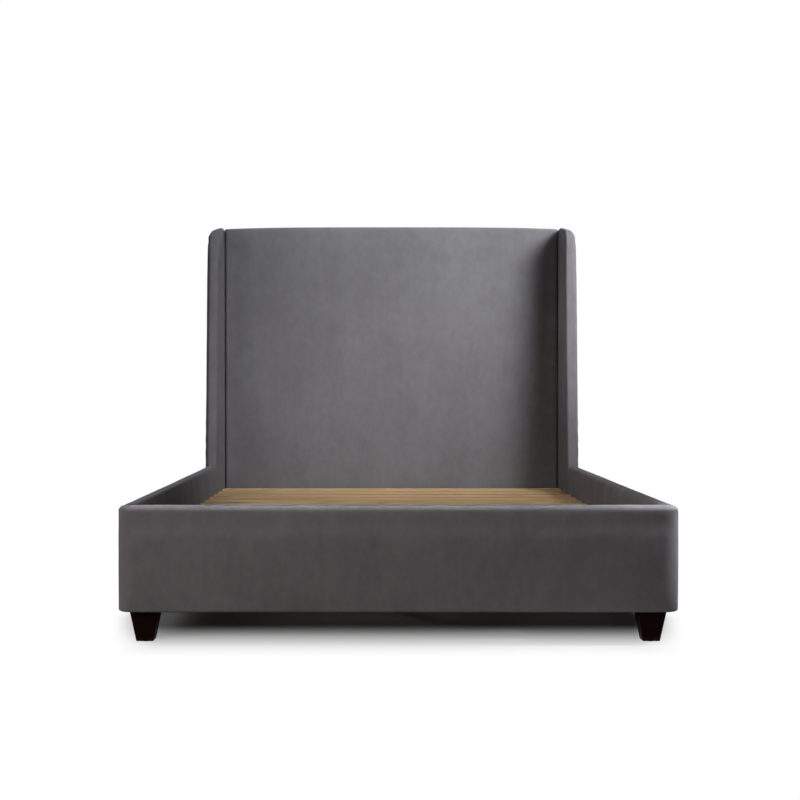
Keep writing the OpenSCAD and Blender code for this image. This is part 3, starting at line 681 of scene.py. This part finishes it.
def black_plastic():
    """Moulded plastic with a fine spark-eroded texture"""
    material, tree, shader, place = new_material("black_plastic", Specular_IOR_Level=0.4)
    grit = noise_texture(tree, place, 1600.0, 2.0)
    wear = use_group(tree, wear_group(), Vector=place, Size=60.0)
    tone = mix_colour(tree, wear["Scratch"], (0.018, 0.018, 0.018), (0.035, 0.035, 0.035))
    dress(tree, shader, tone, remap(tree, grit, 0.3, 0.7, 0.5, 0.68), grit, 0.1 * MM, 0.6)
    return material


PAD_TOP, STEM_FOOT, THREAD_PITCH = mm(8, 14, 1.5)  # of the levelling feet


def foot_finish():
    """Levelling foot: plastic pad below, threaded zinc stem above"""
    material, tree, shader, place = new_material("levelling_foot")
    up, edge = axes(tree, place)[2], 0.2 * MM
    steel = remap(tree, up, PAD_TOP - edge, PAD_TOP + edge)
    wear = use_group(tree, wear_group(), Vector=place, Size=70.0)
    tone = mix_colour(tree, steel, (0.02, 0.02, 0.02), (0.55, 0.55, 0.54))
    rough = math_node(tree, "MULTIPLY_ADD", wear["Blotch"], 0.15,
                      remap(tree, steel, 0, 1, 0.5, 0.3))
    turns = times(tree, up, 2 * math.pi / THREAD_PITCH)
    on_stem = remap(tree, up, STEM_FOOT - edge, STEM_FOOT + edge)
    thread = times(tree, math_node(tree, "SINE", turns), on_stem)
    tree.links.new(steel, shader.inputs["Metallic"])
    dress(tree, shader, tone, rough, thread, 0.6 * MM)
    return material


def paint(node, material):
    """Gives every slot of a CAD node this material"""
    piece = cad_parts[node]
    if not piece.material_slots:
        piece.data.materials.append(material)
    for slot in piece.material_slots:
        slot.material = material


# ---- Settings ----


class VelvetSettings(bpy.types.PropertyGroup):
    light_colour: bpy.props.FloatVectorProperty(
        name="Lying pile", description="Colour where the pile lies flat",
        subtype="COLOR", default=(0.171, 0.162, 0.169), min=0, max=1)
    shade_colour: bpy.props.FloatVectorProperty(
        name="Standing pile", description="Colour where the pile stands up",
        subtype="COLOR", default=(0.128, 0.119, 0.125), min=0, max=1)
    sheen_colour: bpy.props.FloatVectorProperty(
        name="Sheen", description="Colour of the pile's bright edge",
        subtype="COLOR", default=(0.62, 0.60, 0.66), min=0, max=1)
    sheen: bpy.props.FloatProperty(
        name="Sheen amount", description="Strength of the pile's bright edge",
        default=0.05, min=0, max=1)
    patch: bpy.props.FloatProperty(
        name="Patches", description="Patches of lying pile in a metre",
        default=3.5, min=1, max=30)
    fibre: bpy.props.FloatProperty(
        name="Fibres", description="Fibres in a metre", default=900.0, min=100, max=3000)


class PadSettings(bpy.types.PropertyGroup):
    pressure: bpy.props.FloatProperty(
        name="Pressure", description="Pressure that swells the padding",
        default=4.0, min=0, max=20)
    stiffness: bpy.props.FloatProperty(
        name="Stiffness", description="How little the velvet stretches",
        default=25.0, min=5, max=80)
    panel_cap: bpy.props.FloatProperty(
        name="Headboard swell", description="Furthest that the headboard's padding swells",
        unit="LENGTH", default=0.005, min=0, max=0.02)
    side_cap: bpy.props.FloatProperty(
        name="Side swell", description="Furthest that the other pads swell",
        unit="LENGTH", default=0.004, min=0, max=0.02)
    crown: bpy.props.FloatProperty(
        name="Headboard crown", description="Swell of the headboard's front",
        unit="LENGTH", default=0.008, min=0, max=0.03)


class ClothSettings(bpy.types.PropertyGroup):
    thread_pitch: bpy.props.FloatProperty(
        name="Thread pitch", description="Distance between the back cloth's threads",
        unit="LENGTH", default=0.0014, min=0.0005, max=0.005)
    staple_pitch: bpy.props.FloatProperty(
        name="Staple pitch", description="Distance between the staples",
        unit="LENGTH", default=0.045, min=0.02, max=0.1)
    staple_width: bpy.props.FloatProperty(
        name="Staple width", description="Width of a staple's crown",
        unit="LENGTH", default=0.011, min=0.006, max=0.02)


class TimberSettings(bpy.types.PropertyGroup):
    pine_light: bpy.props.FloatVectorProperty(
        name="Pine, early wood", description="Colour between the year rings",
        subtype="COLOR", default=(0.62, 0.43, 0.24), min=0, max=1)
    pine_dark: bpy.props.FloatVectorProperty(
        name="Pine, late wood", description="Colour of the year rings",
        subtype="COLOR", default=(0.42, 0.24, 0.10), min=0, max=1)
    rings: bpy.props.FloatProperty(
        name="Rings", description="Closeness of the year rings",
        default=620.0, min=100, max=2000)
    leg_dark: bpy.props.FloatVectorProperty(
        name="Leg, dark", description="Darker stain of the legs",
        subtype="COLOR", default=(0.0072, 0.0013, 0.0008), min=0, max=1)
    leg_light: bpy.props.FloatVectorProperty(
        name="Leg, light", description="Lighter stain of the legs",
        subtype="COLOR", default=(0.0090, 0.0030, 0.0018), min=0, max=1)


class StudioSettings(bpy.types.PropertyGroup):
    eye: bpy.props.FloatVectorProperty(
        name="Camera place", description="Where the camera stands",
        subtype="TRANSLATION", unit="LENGTH", default=(-0.0557, -4.7196, 0.7573))
    shift: bpy.props.FloatProperty(
        name="Camera shift", description="Sideways shift of the lens, in picture widths",
        default=0.0258, min=-0.1, max=0.1)
    tilt: bpy.props.FloatProperty(
        name="Camera tilt", description="Tilt of the camera below the horizon",
        subtype="ANGLE", default=math.radians(0.60))
    lens: bpy.props.FloatProperty(
        name="Lens", description="Focal length on a 36 mm sensor", default=55.58,
        min=20, max=200)
    key_power: bpy.props.FloatProperty(
        name="Key lamp", description="Power of the lamp at the front right",
        unit="POWER", default=29.5, min=0)
    world_level: bpy.props.FloatProperty(
        name="Room light", description="Even light from all round",
        default=0.08, min=0, max=2)


# ---- Pads ----


def panel_form(settings):
    side_gap, back_gap = mm(0.6, 1.3)  # to the wings, and to the back cloth
    low = (PANEL_LOW[0] + side_gap, PANEL_LOW[1], PANEL_LOW[2] - HEM)
    high = (PANEL_HIGH[0] - side_gap, PANEL_HIGH[1] - back_gap, PANEL_HIGH[2])
    return PadForm(low, high, ease=mm(2, 2, 17, 10), fall=mm(3, 3, 60, 14),
                   corner=(mm(15, 5),) * 2, crown=settings.crown, cell=16 * MM,
                   soft_foot=False, arch=9 * MM, foot_round=1.5 * MM, top_steps=10)


def foot_form():
    return PadForm((FOOT_LOW[0], FOOT_LOW[1], FOOT_LOW[2] - HEM), tuple(FOOT_HIGH),
                   ease=mm(18, 18, 19, 18), fall=mm(15, 15, 15, 15),
                   corner=(mm(30, 5),) * 2, crown=4 * MM, cell=12 * MM,
                   foot_round=7 * MM, foot_side=3.0)


def rail_form():
    end_gap = 0.5 * MM
    low = (RAIL_LOW[1] + end_gap, -RAIL_HIGH[0], RAIL_LOW[2] - HEM)
    high = (RAIL_HIGH[1] - end_gap, -RAIL_LOW[0], RAIL_HIGH[2])
    return PadForm(low, high, ease=mm(5, 5, 18, 18), fall=mm(10, 10, 18, 18),
                   corner=(mm(5, 5),) * 2, crown=3 * MM, cell=14 * MM)


def wing_form():
    climb, swell_room, top_depth = mm(16, 4, 208)
    rail_top, top = RAIL_HIGH[2], WING_HIGH[2] - climb - swell_room
    top_front = PANEL_LOW[1] - top_depth
    lean = (top_front - WING_LOW[1]) / (top - rail_top)
    low = (WING_LOW[1], -WING_HIGH[0], WING_LOW[2] - HEM)
    high = (WING_HIGH[1], -WING_LOW[0], top)
    return PadForm(low, high, ease=mm(62, 20, 46, 1.5), fall=mm(52, 20, 55, 2.5),
                   corner=(mm(20, 8), mm(12, 8)), crown=3 * MM, cell=11 * MM,
                   climb=climb, lean=lean, lean_z=rail_top, top_steps=10)


class BED_OT_headboard_pad(bpy.types.Operator):
    """Padded velvet panel of the headboard, arched along its top edge"""
    bl_idname = "bed.headboard_pad"
    bl_label = "Headboard pad"

    def execute(self, context):
        settings = context.scene.bed_pads
        form = panel_form(settings)

        def held(co, normal):
            edge = min(co.x - form.low[0], form.high[0] - co.x, form.high[2] - co.z,
                       co.z - form.low[2])
            return 1 - smooth(0.0, 0.10, edge) * smooth(0.2, 0.8, -normal.y)

        def depth(co, normal):
            facing = smooth(0.3, 0.9, -normal.y)
            side = min(co.x - form.low[0], form.high[0] - co.x)
            return loose_cloth(co, 4.0) * (0.1 + 0.9 * facing) * smooth(0, 0.03, side)

        make_pad("headboard_pad", form, held, depth, settings.panel_cap)
        return {"FINISHED"}


class BED_OT_footboard_pad(bpy.types.Operator):
    """Padded velvet footboard with rounded front corners"""
    bl_idname = "bed.footboard_pad"
    bl_label = "Footboard pad"

    def execute(self, context):
        form = foot_form()

        def held(co, normal):
            low = smooth(0.0, 0.05, co.z - form.low[2])
            top = smooth(0.10, 0.02, form.high[2] - co.z)
            return 1 - low * (1 - top) * smooth(-0.2, 0.6, max(-normal.y, abs(normal.x)))

        def depth(co, normal):
            top = smooth(0.03, 0.01, form.high[2] - co.z)
            return loose_cloth(co, 9.0) * smooth(0, 0.02, co.z - form.low[2]) * (
                1 - 0.7 * top)

        make_pad("footboard_pad", form, held, depth, context.scene.bed_pads.side_cap)
        return {"FINISHED"}


class BED_OT_rail_pads(bpy.types.Operator):
    """Padded velvet side rails, one each side"""
    bl_idname = "bed.rail_pads"
    bl_label = "Rail pads"

    def execute(self, context):
        form = rail_form()
        for side, seed in (("right", 13.0), ("left", 17.0)):

            def held(co, normal):
                end = min(co.x - form.low[0], form.high[0] - co.x)
                free = smooth(0.0, 0.03, end) * smooth(0.0, 0.04, co.z - form.low[2])
                return 1 - free

            def depth(co, normal):
                end = min(co.y - form.low[0], form.high[0] - co.y)
                return loose_cloth(co, seed) * smooth(0, 0.03, end)

            make_pad("rail_pad_" + side, form, held, depth, context.scene.bed_pads.side_cap)
        return {"FINISHED"}


class BED_OT_wing_pads(bpy.types.Operator):
    """Padded velvet wings with domed tops, one each side of the headboard"""
    bl_idname = "bed.wing_pads"
    bl_label = "Wing pads"

    def execute(self, context):
        form = wing_form()
        panel_front = PANEL_LOW[1]
        for side, seed in (("right", 27.0), ("left", 31.0)):

            def held(co, normal):
                joint = smooth(panel_front - 0.03, panel_front, co.x) * smooth(
                    0.3, 0.8, normal.y)
                foot = 1 - smooth(0.0, 0.04, co.z - form.low[2])
                dome = smooth(form.high[2] - 0.05, form.high[2] - 0.02, co.z)
                return max(joint, foot, dome)

            def depth(co, normal):
                inner = smooth(0.3, 0.8, -normal.x if co.x > 0 else normal.x)
                joint = inner * smooth(panel_front - 0.02, panel_front, co.y)
                return (loose_cloth(co, seed) + wing_creases(co, form, seed)) * (1 - joint)

            # the wings take the velvet with painted shade on their inner faces and painted
            # light on their other faces
            make_pad("wing_pad_" + side, form, held, depth,
                     context.scene.bed_pads.side_cap, wings=True)
        return {"FINISHED"}


PLEAT_DEPTH, WRINKLE_DEPTH = mm(1.6, 0.7)
WRINKLE_WAVE = 11 * MM  # distance between wrinkles, divided by 2 pi


def wing_creases(co, form, seed):
    """Pleats round the front top corner of a wing, and drawn wrinkles at its foot"""
    z_top = form.high[2]
    front = form.low[0] + form.lean * max(0.0, co.z - form.lean_z)
    reach = form.round_h
    up, out = co.z - (z_top - reach), front + form.ease[0] - co.y
    pleats = 0.0
    if up > -0.02 and out > -0.03:
        angle = math.atan2(max(up, 0.0), max(out, 1e-5))
        far = math.hypot(max(up, 0.0), max(out, 0.0)) / reach
        comb = max(0.0, math.cos(11 * angle + 0.4 * math.sin(seed))) ** 6
        here = smooth(0.35, 0.8, far) * (1 - smooth(0.98, 1.1, far))
        pleats = -PLEAT_DEPTH * comb * here
    wrinkles = 0.0
    height = co.z - form.lean_z
    if 0.0 < height < 0.30:
        slant = height + 1.3 * (co.y - front)
        comb = math.sin(slant / WRINKLE_WAVE + 2.0 * undulation(co, 0.05, seed))
        fade = smooth(0.0, 0.03, height) * (1 - smooth(0.08, 0.30, height))
        wrinkles = WRINKLE_DEPTH * comb * fade * (1 - smooth(0.02, 0.10, co.y - front))
    return pleats + wrinkles


# ---- Back cloth and staples ----


class BED_OT_back_cloth(bpy.types.Operator):
    """Black cloth stretched over the back of the headboard"""
    bl_idname = "bed.back_cloth"
    bl_label = "Back cloth"

    def execute(self, context):
        settings = context.scene.bed_cloth
        low, high = CLOTH_LOW, CLOTH_HIGH
        width, height = high[0] - low[0], high[2] - low[2] - CLOTH_RAISE
        cell, hem_flat, hem_wide = mm(9, 9.6, 13)
        across = soft_lines(width, cell, hem_wide, hem_wide)
        upward = soft_lines(height, cell, hem_wide, hem_wide)
        clear_selection()
        bpy.ops.mesh.primitive_grid_add(
            x_subdivisions=len(across) - 1, y_subdivisions=len(upward) - 1, size=1,
            location=(0, 0, 0))
        cloth = bpy.context.object
        cloth.name = cloth.data.name = "back_cloth"
        points = []
        for co in coordinates(cloth.data):
            a = across[round((co.x + 0.5) * (len(across) - 1))]
            b = upward[round((co.y + 0.5) * (len(upward) - 1))]
            x, z = high[0] - a, low[2] + CLOTH_RAISE + b
            edge = min(a, width - a), min(b, height - b)
            hem = 1 - smooth(hem_flat, hem_wide, min(edge))
            slack = smooth(0.0, 0.06, min(edge))
            pull = sum(
                math.exp(-(edge[1 - k] / 0.035) ** 2)
                * math.cos(2 * math.pi * (x, z)[k] / settings.staple_pitch)
                for k in (0, 1))
            here = Vector((x, 0, z))
            wave = 0.5 * undulation(here, 0.35, 2.0) + 0.15 * undulation(here, 0.1, 6.0)
            depth = (0.5 * wave - 0.8) * slack + 0.22 * pull + 0.5 * hem
            points.append((x, high[1] + (0.5 + depth) * MM, z))
        move_to(cloth.data, points)
        make_active(cloth)
        bpy.ops.object.shade_smooth()
        thick = cloth.modifiers.new("thickness", "SOLIDIFY")
        thick.thickness = 0.5 * MM
        thick.offset = -1
        apply_modifier(cloth, thick)
        cloth.data.materials.append(back_fabric(settings))
        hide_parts("headboard_back_cloth")
        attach(cloth, "root")
        return {"FINISHED"}


def bent_staple(width):
    """One flat wire staple, its crown along x and its legs pointing along -y"""
    half, wire, flat = width / 2, 0.6 * MM, 1.3 * MM
    side = [(0.0, -2.6 * MM, 90), (0.0, -0.9 * MM, 90), (0.25 * MM, -0.28 * MM, 55),
            (0.85 * MM, 0.0, 0)]
    path = [(x - half, y, a) for x, y, a in side]
    path += [(half - x, y, -a) for x, y, a in reversed(side)]
    staple = cut_block("staples", (len(path) - 1, 1, 1))
    points = []
    for co in coordinates(staple.data):
        x, y, angle = path[round(co.x * (len(path) - 1))]
        turn, out = math.radians(angle), (co.y - 0.5) * wire
        points.append((x - out * math.sin(turn), y + out * math.cos(turn),
                       (co.z - 0.5) * flat))
    move_to(staple.data, points)
    make_active(staple)
    bpy.ops.object.shade_smooth_by_angle(angle=math.radians(50))
    return staple


class BED_OT_staples(bpy.types.Operator):
    """Wire staples that hold the back cloth along its hem"""
    bl_idname = "bed.staples"
    bl_label = "Staples"

    def execute(self, context):
        settings = context.scene.bed_cloth
        pitch, inset = settings.staple_pitch, 6 * MM
        (left, right), (foot, top) = [(CLOTH_LOW[k], CLOTH_HIGH[k]) for k in (0, 2)]

        def stops(low, high):
            first = math.ceil((low + 0.015) / pitch - 0.5)
            last = math.floor((high - 0.015) / pitch - 0.5)
            return [(n + 0.5) * pitch for n in range(first, last + 1)]

        places = [(x, z, 0.0) for x in stops(left, right)
                  for z in (foot + CLOTH_RAISE + inset, top - inset)]
        places += [(x, z, 90.0) for z in stops(foot, top)
                   for x in (left + inset, right - inset)]
        first = bent_staple(settings.staple_width)
        copies = []
        for k, (x, z, turn) in enumerate(places):
            staple = first.copy()
            staple.data = first.data.copy()
            askew = turn + 5.0 * math.sin(2.4 * k)
            staple.data.transform(
                Matrix.Translation((x, CLOTH_HIGH[1] + 1.0 * MM, z))
                @ Matrix.Rotation(math.radians(askew), 4, "Y"))
            context.collection.objects.link(staple)
            copies.append(staple)
        clear_selection()
        bpy.data.objects.remove(first)
        for staple in copies:
            staple.select_set(True)
        context.view_layer.objects.active = copies[0]
        bpy.ops.object.join()
        staples = copies[0]
        staples.name = staples.data.name = "staples"
        staples.data.materials.append(zinc())
        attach(staples, "root")
        return {"FINISHED"}


# ---- Carried-over parts ----


def pair(name):
    return [name + "_left", name + "_right"]


GRAIN_TURNS = {
    "x": (0, 0, 0),
    "y": (0, 0, math.radians(90)),
    "z": (0, math.radians(90), 0),
}
PINE_PARTS = {
    "x": ["slats", "headboard_top_bar", "headboard_middle_bar", "headboard_bottom_bar"],
    "y": ["centre_beam", *pair("rail_cleat"), *pair("wing_cleat")],
    "z": [*pair("headboard_stile"), *pair("corner_block"), "support_posts"],
}
PLYWOOD_PARTS = ["headboard_board", "footboard_board", *pair("rail_board"),
                 *pair("wing_board")]
LEG_PARTS = [*pair("leg_front"), *pair("leg_back")]
ZINC_PARTS = ["frame_screws", "wing_bolts", "corner_bolts", "cleat_screws", "plate_bolts",
              "slat_screws", "hanger_screws", "post_bolts", "foot_inserts", "leg_bolts"]
STEEL_PARTS = [*pair("rail_plate"), "beam_hanger_foot", "beam_hanger_head"]


class BED_OT_timber(bpy.types.Operator):
    """Pine, plywood and stained wood on the timber parts"""
    bl_idname = "bed.timber"
    bl_label = "Timber finishes"

    def execute(self, context):
        settings = context.scene.bed_timber
        for axis, nodes in PINE_PARTS.items():
            material = pine("pine_" + axis, settings, GRAIN_TURNS[axis])
            for node in nodes:
                paint(node, material)
        board = plywood()
        for node in PLYWOOD_PARTS:
            paint(node, board)
        stained = espresso_wood(settings)
        for node in LEG_PARTS:
            paint(node, stained)
        return {"FINISHED"}


class BED_OT_fittings(bpy.types.Operator):
    """Zinc, black steel and plastic on the fittings"""
    bl_idname = "bed.fittings"
    bl_label = "Fitting finishes"

    def execute(self, context):
        plated, coated = zinc(), black_steel()
        for node in ZINC_PARTS:
            paint(node, plated)
        for node in STEEL_PARTS:
            paint(node, coated)
        paint("leg_glides", black_plastic())
        foot = foot_finish()
        for number in (1, 2, 3):
            paint("levelling_foot_%d" % number, foot)
        return {"FINISHED"}


# ---- Studio ----

COOL, WARM = (0.955, 1.0, 1.045), (1.05, 1.0, 0.965)
LAMPS = [  # name, place, target, size, power, spread, colour
    ("top_lamp", (0.1, 0.99, 3.4), (0.1, 1.03, 1.5), (1.7, 0.06), 0.6, 6, COOL),
    ("left_lamp", (-2.6, 0.55, 2.9), (0.78, 0.86, 1.0), (0.5, 0.5), 0.5, 17, COOL),
    ("front_lamp", (-3.4, -4.2, 2.0), (-0.25, -1.1, 0.25), (1.2, 1.2), 8.7, 44, WARM),
    ("edge_lamp", (0.11, -1.1, 3.2), (0.11, -1.1, 0.4), (1.82, 0.03), 0.38, 1.5, COOL),
    ("rim_lamp", (2.7, -1.1, 2.3), (0.84, -1.18, 0.34), (0.25, 0.25), 1.1, 10, COOL),
    ("back_lamp", (0.8, 3.4, 2.4), (0, 1.1, 0.8), (1.6, 1.6), 14.0, 70, COOL),
    ("side_lamp", (-2.9, 3.0, 2.3), (-0.85, -0.2, 0.5), (1.4, 1.4), 14.0, 80, COOL),
]
# Field that holds the floor's shadow, in metres from the bed's outline: inside it the
# shadow is real, and across its soft edges beside the bed and past its ends the floor's
# glow fades in, so these edges are painted shade; and how it draws in over TAPER towards
# each end
EDGE_ACROSS, EDGE_ALONG = (-0.09, 0.07), (-0.325, 0.17)
TAPER, DRAWN_IN = 0.43, (-0.045, 0.05)


def area_lamp(name, place, target, size, power, spread, colour):
    """A soft box aimed at target; size is its width and height, and spread the angle of the
    grid in front of it, in degrees"""
    data = bpy.data.lights.new(name, "AREA")
    data.shape = "RECTANGLE"
    data.size, data.size_y = size
    data.energy = power
    data.color = colour
    data.spread = math.radians(spread)
    lamp = bpy.data.objects.new(name, data)
    bpy.context.scene.collection.objects.link(lamp)
    lamp.location = place
    direction = Vector(target) - Vector(place)
    lamp.rotation_euler = direction.to_track_quat("-Z", "Y").to_euler()


def in_view(tree):
    """1 for rays from the camera and for those mirrored or bent on the way, else 0"""
    path = tree.nodes.new("ShaderNodeLightPath").outputs
    mirrored = math_node(tree, "MAXIMUM", path["Is Glossy Ray"],
                         path["Is Transmission Ray"])
    return math_node(tree, "MAXIMUM", path["Is Camera Ray"], mirrored)


class BED_OT_studio(bpy.types.Operator):
    """Plain pale floor, soft lamps and the camera"""
    bl_idname = "bed.studio"
    bl_label = "Studio"

    def execute(self, context):
        scene = context.scene
        settings = scene.bed_studio
        self.floor()
        self.world(scene, settings)
        area_lamp("key_lamp", (2.68, -1.14, 2.62), (0.68, 1.35, 1.17), (3.0, 1.3),
                  settings.key_power, 40, COOL)
        for lamp in LAMPS:
            area_lamp(*lamp)
        data = bpy.data.cameras.new("camera")
        data.lens = settings.lens
        data.sensor_width = 36.0
        data.shift_x = settings.shift
        data.clip_end = 100
        camera = bpy.data.objects.new("camera", data)
        scene.collection.objects.link(camera)
        camera.location = settings.eye
        camera.rotation_euler = (math.radians(90) - settings.tilt, 0, 0)
        scene.camera = camera
        scene.view_settings.view_transform = "Standard"
        return {"FINISHED"}

    def floor(self):
        """White floor, which keeps the bed's real shadow within a soft-edged field; across
        the field's edges the glow fades in, so the shadow's soft edges are painted shade
        """
        clear_selection()
        bpy.ops.mesh.primitive_plane_add(size=60, location=(0, 0, 0))
        floor = bpy.context.object
        floor.name = floor.data.name = "floor"
        material = bpy.data.materials.new("floor_white")
        tree = fresh_tree(material)
        place = tree.nodes.new("ShaderNodeTexCoord").outputs["Object"]
        half = CAD_BOX[1][0], -CAD_BOX[0][1]
        across, along = (math_node(tree, "ABSOLUTE", axes(tree, place)[k]) for k in (0, 1))
        # painted shade: the glow fades out towards the bed across this field, which paints
        # the soft edges of the real shadow
        draw_in = remap(tree, along, half[1] - TAPER, half[1], *DRAWN_IN, kind="LINEAR")
        shade_across = remap(tree, math_node(tree, "ADD", across, draw_in),
                             *[half[0] + edge for edge in EDGE_ACROSS], 1, 0)
        shade_along = remap(tree, along, *[half[1] + edge for edge in EDGE_ALONG], 1, 0)
        shade = times(tree, shade_across, shade_along)
        amount = times(tree, math_node(tree, "SUBTRACT", 1, shade), in_view(tree))
        diffuse = add(tree, "ShaderNodeBsdfDiffuse", inputs={"Color": (0.2, 0.2, 0.2, 1)})
        glow = add(tree, "ShaderNodeEmission", inputs={"Color": (1, 1, 1, 1)})
        both = add(tree, "ShaderNodeMixShader",
                   inputs={0: amount, 1: diffuse.outputs[0], 2: glow.outputs[0]})
        show(tree, both)
        floor.data.materials.append(material)

    def world(self, scene, settings):
        world = scene.world = bpy.data.worlds.new("studio")
        tree = fresh_tree(world)
        light = add(tree, "ShaderNodeBackground",
                    inputs={"Color": (0.97, 0.98, 1, 1), "Strength": settings.world_level})
        white = add(tree, "ShaderNodeBackground", inputs={"Color": (1, 1, 1, 1)})
        both = add(tree, "ShaderNodeMixShader",
                   inputs={0: in_view(tree), 1: light.outputs[0], 2: white.outputs[0]})
        show(tree, both, "World")


# ---- Add-on ----

STEPS = ["headboard_pad", "footboard_pad", "rail_pads", "wing_pads", "back_cloth",
         "staples", "timber", "fittings", "studio"]


class BED_PT_panel(bpy.types.Panel):
    """Lists the bed's settings and steps"""
    bl_label = "Bed frame"
    bl_idname = "BED_PT_panel"
    bl_space_type = "VIEW_3D"
    bl_region_type = "UI"
    bl_category = "Bed"

    def draw(self, context):
        layout = self.layout
        for name in GROUPS:
            box = layout.box()
            group = getattr(context.scene, name)
            for key in group.__annotations__:
                box.prop(group, key)
        for step in STEPS:
            layout.operator("bed." + step)


GROUPS = {
    "bed_velvet": VelvetSettings,
    "bed_pads": PadSettings,
    "bed_cloth": ClothSettings,
    "bed_timber": TimberSettings,
    "bed_studio": StudioSettings,
}
CLASSES = [
    VelvetSettings, PadSettings, ClothSettings, TimberSettings, StudioSettings,
    BED_OT_headboard_pad, BED_OT_footboard_pad, BED_OT_rail_pads, BED_OT_wing_pads,
    BED_OT_back_cloth, BED_OT_staples, BED_OT_timber, BED_OT_fittings, BED_OT_studio,
    BED_PT_panel,
]


def register():
    for kind in CLASSES:
        bpy.utils.register_class(kind)
    for name, kind in GROUPS.items():
        setattr(bpy.types.Scene, name, bpy.props.PointerProperty(type=kind))


def unregister():
    for name in GROUPS:
        delattr(bpy.types.Scene, name)
    for kind in reversed(CLASSES):
        bpy.utils.unregister_class(kind)


def main():
    register()
    for step in STEPS:
        getattr(bpy.ops.bed, step)()


if __name__ == "__main__":
    main()
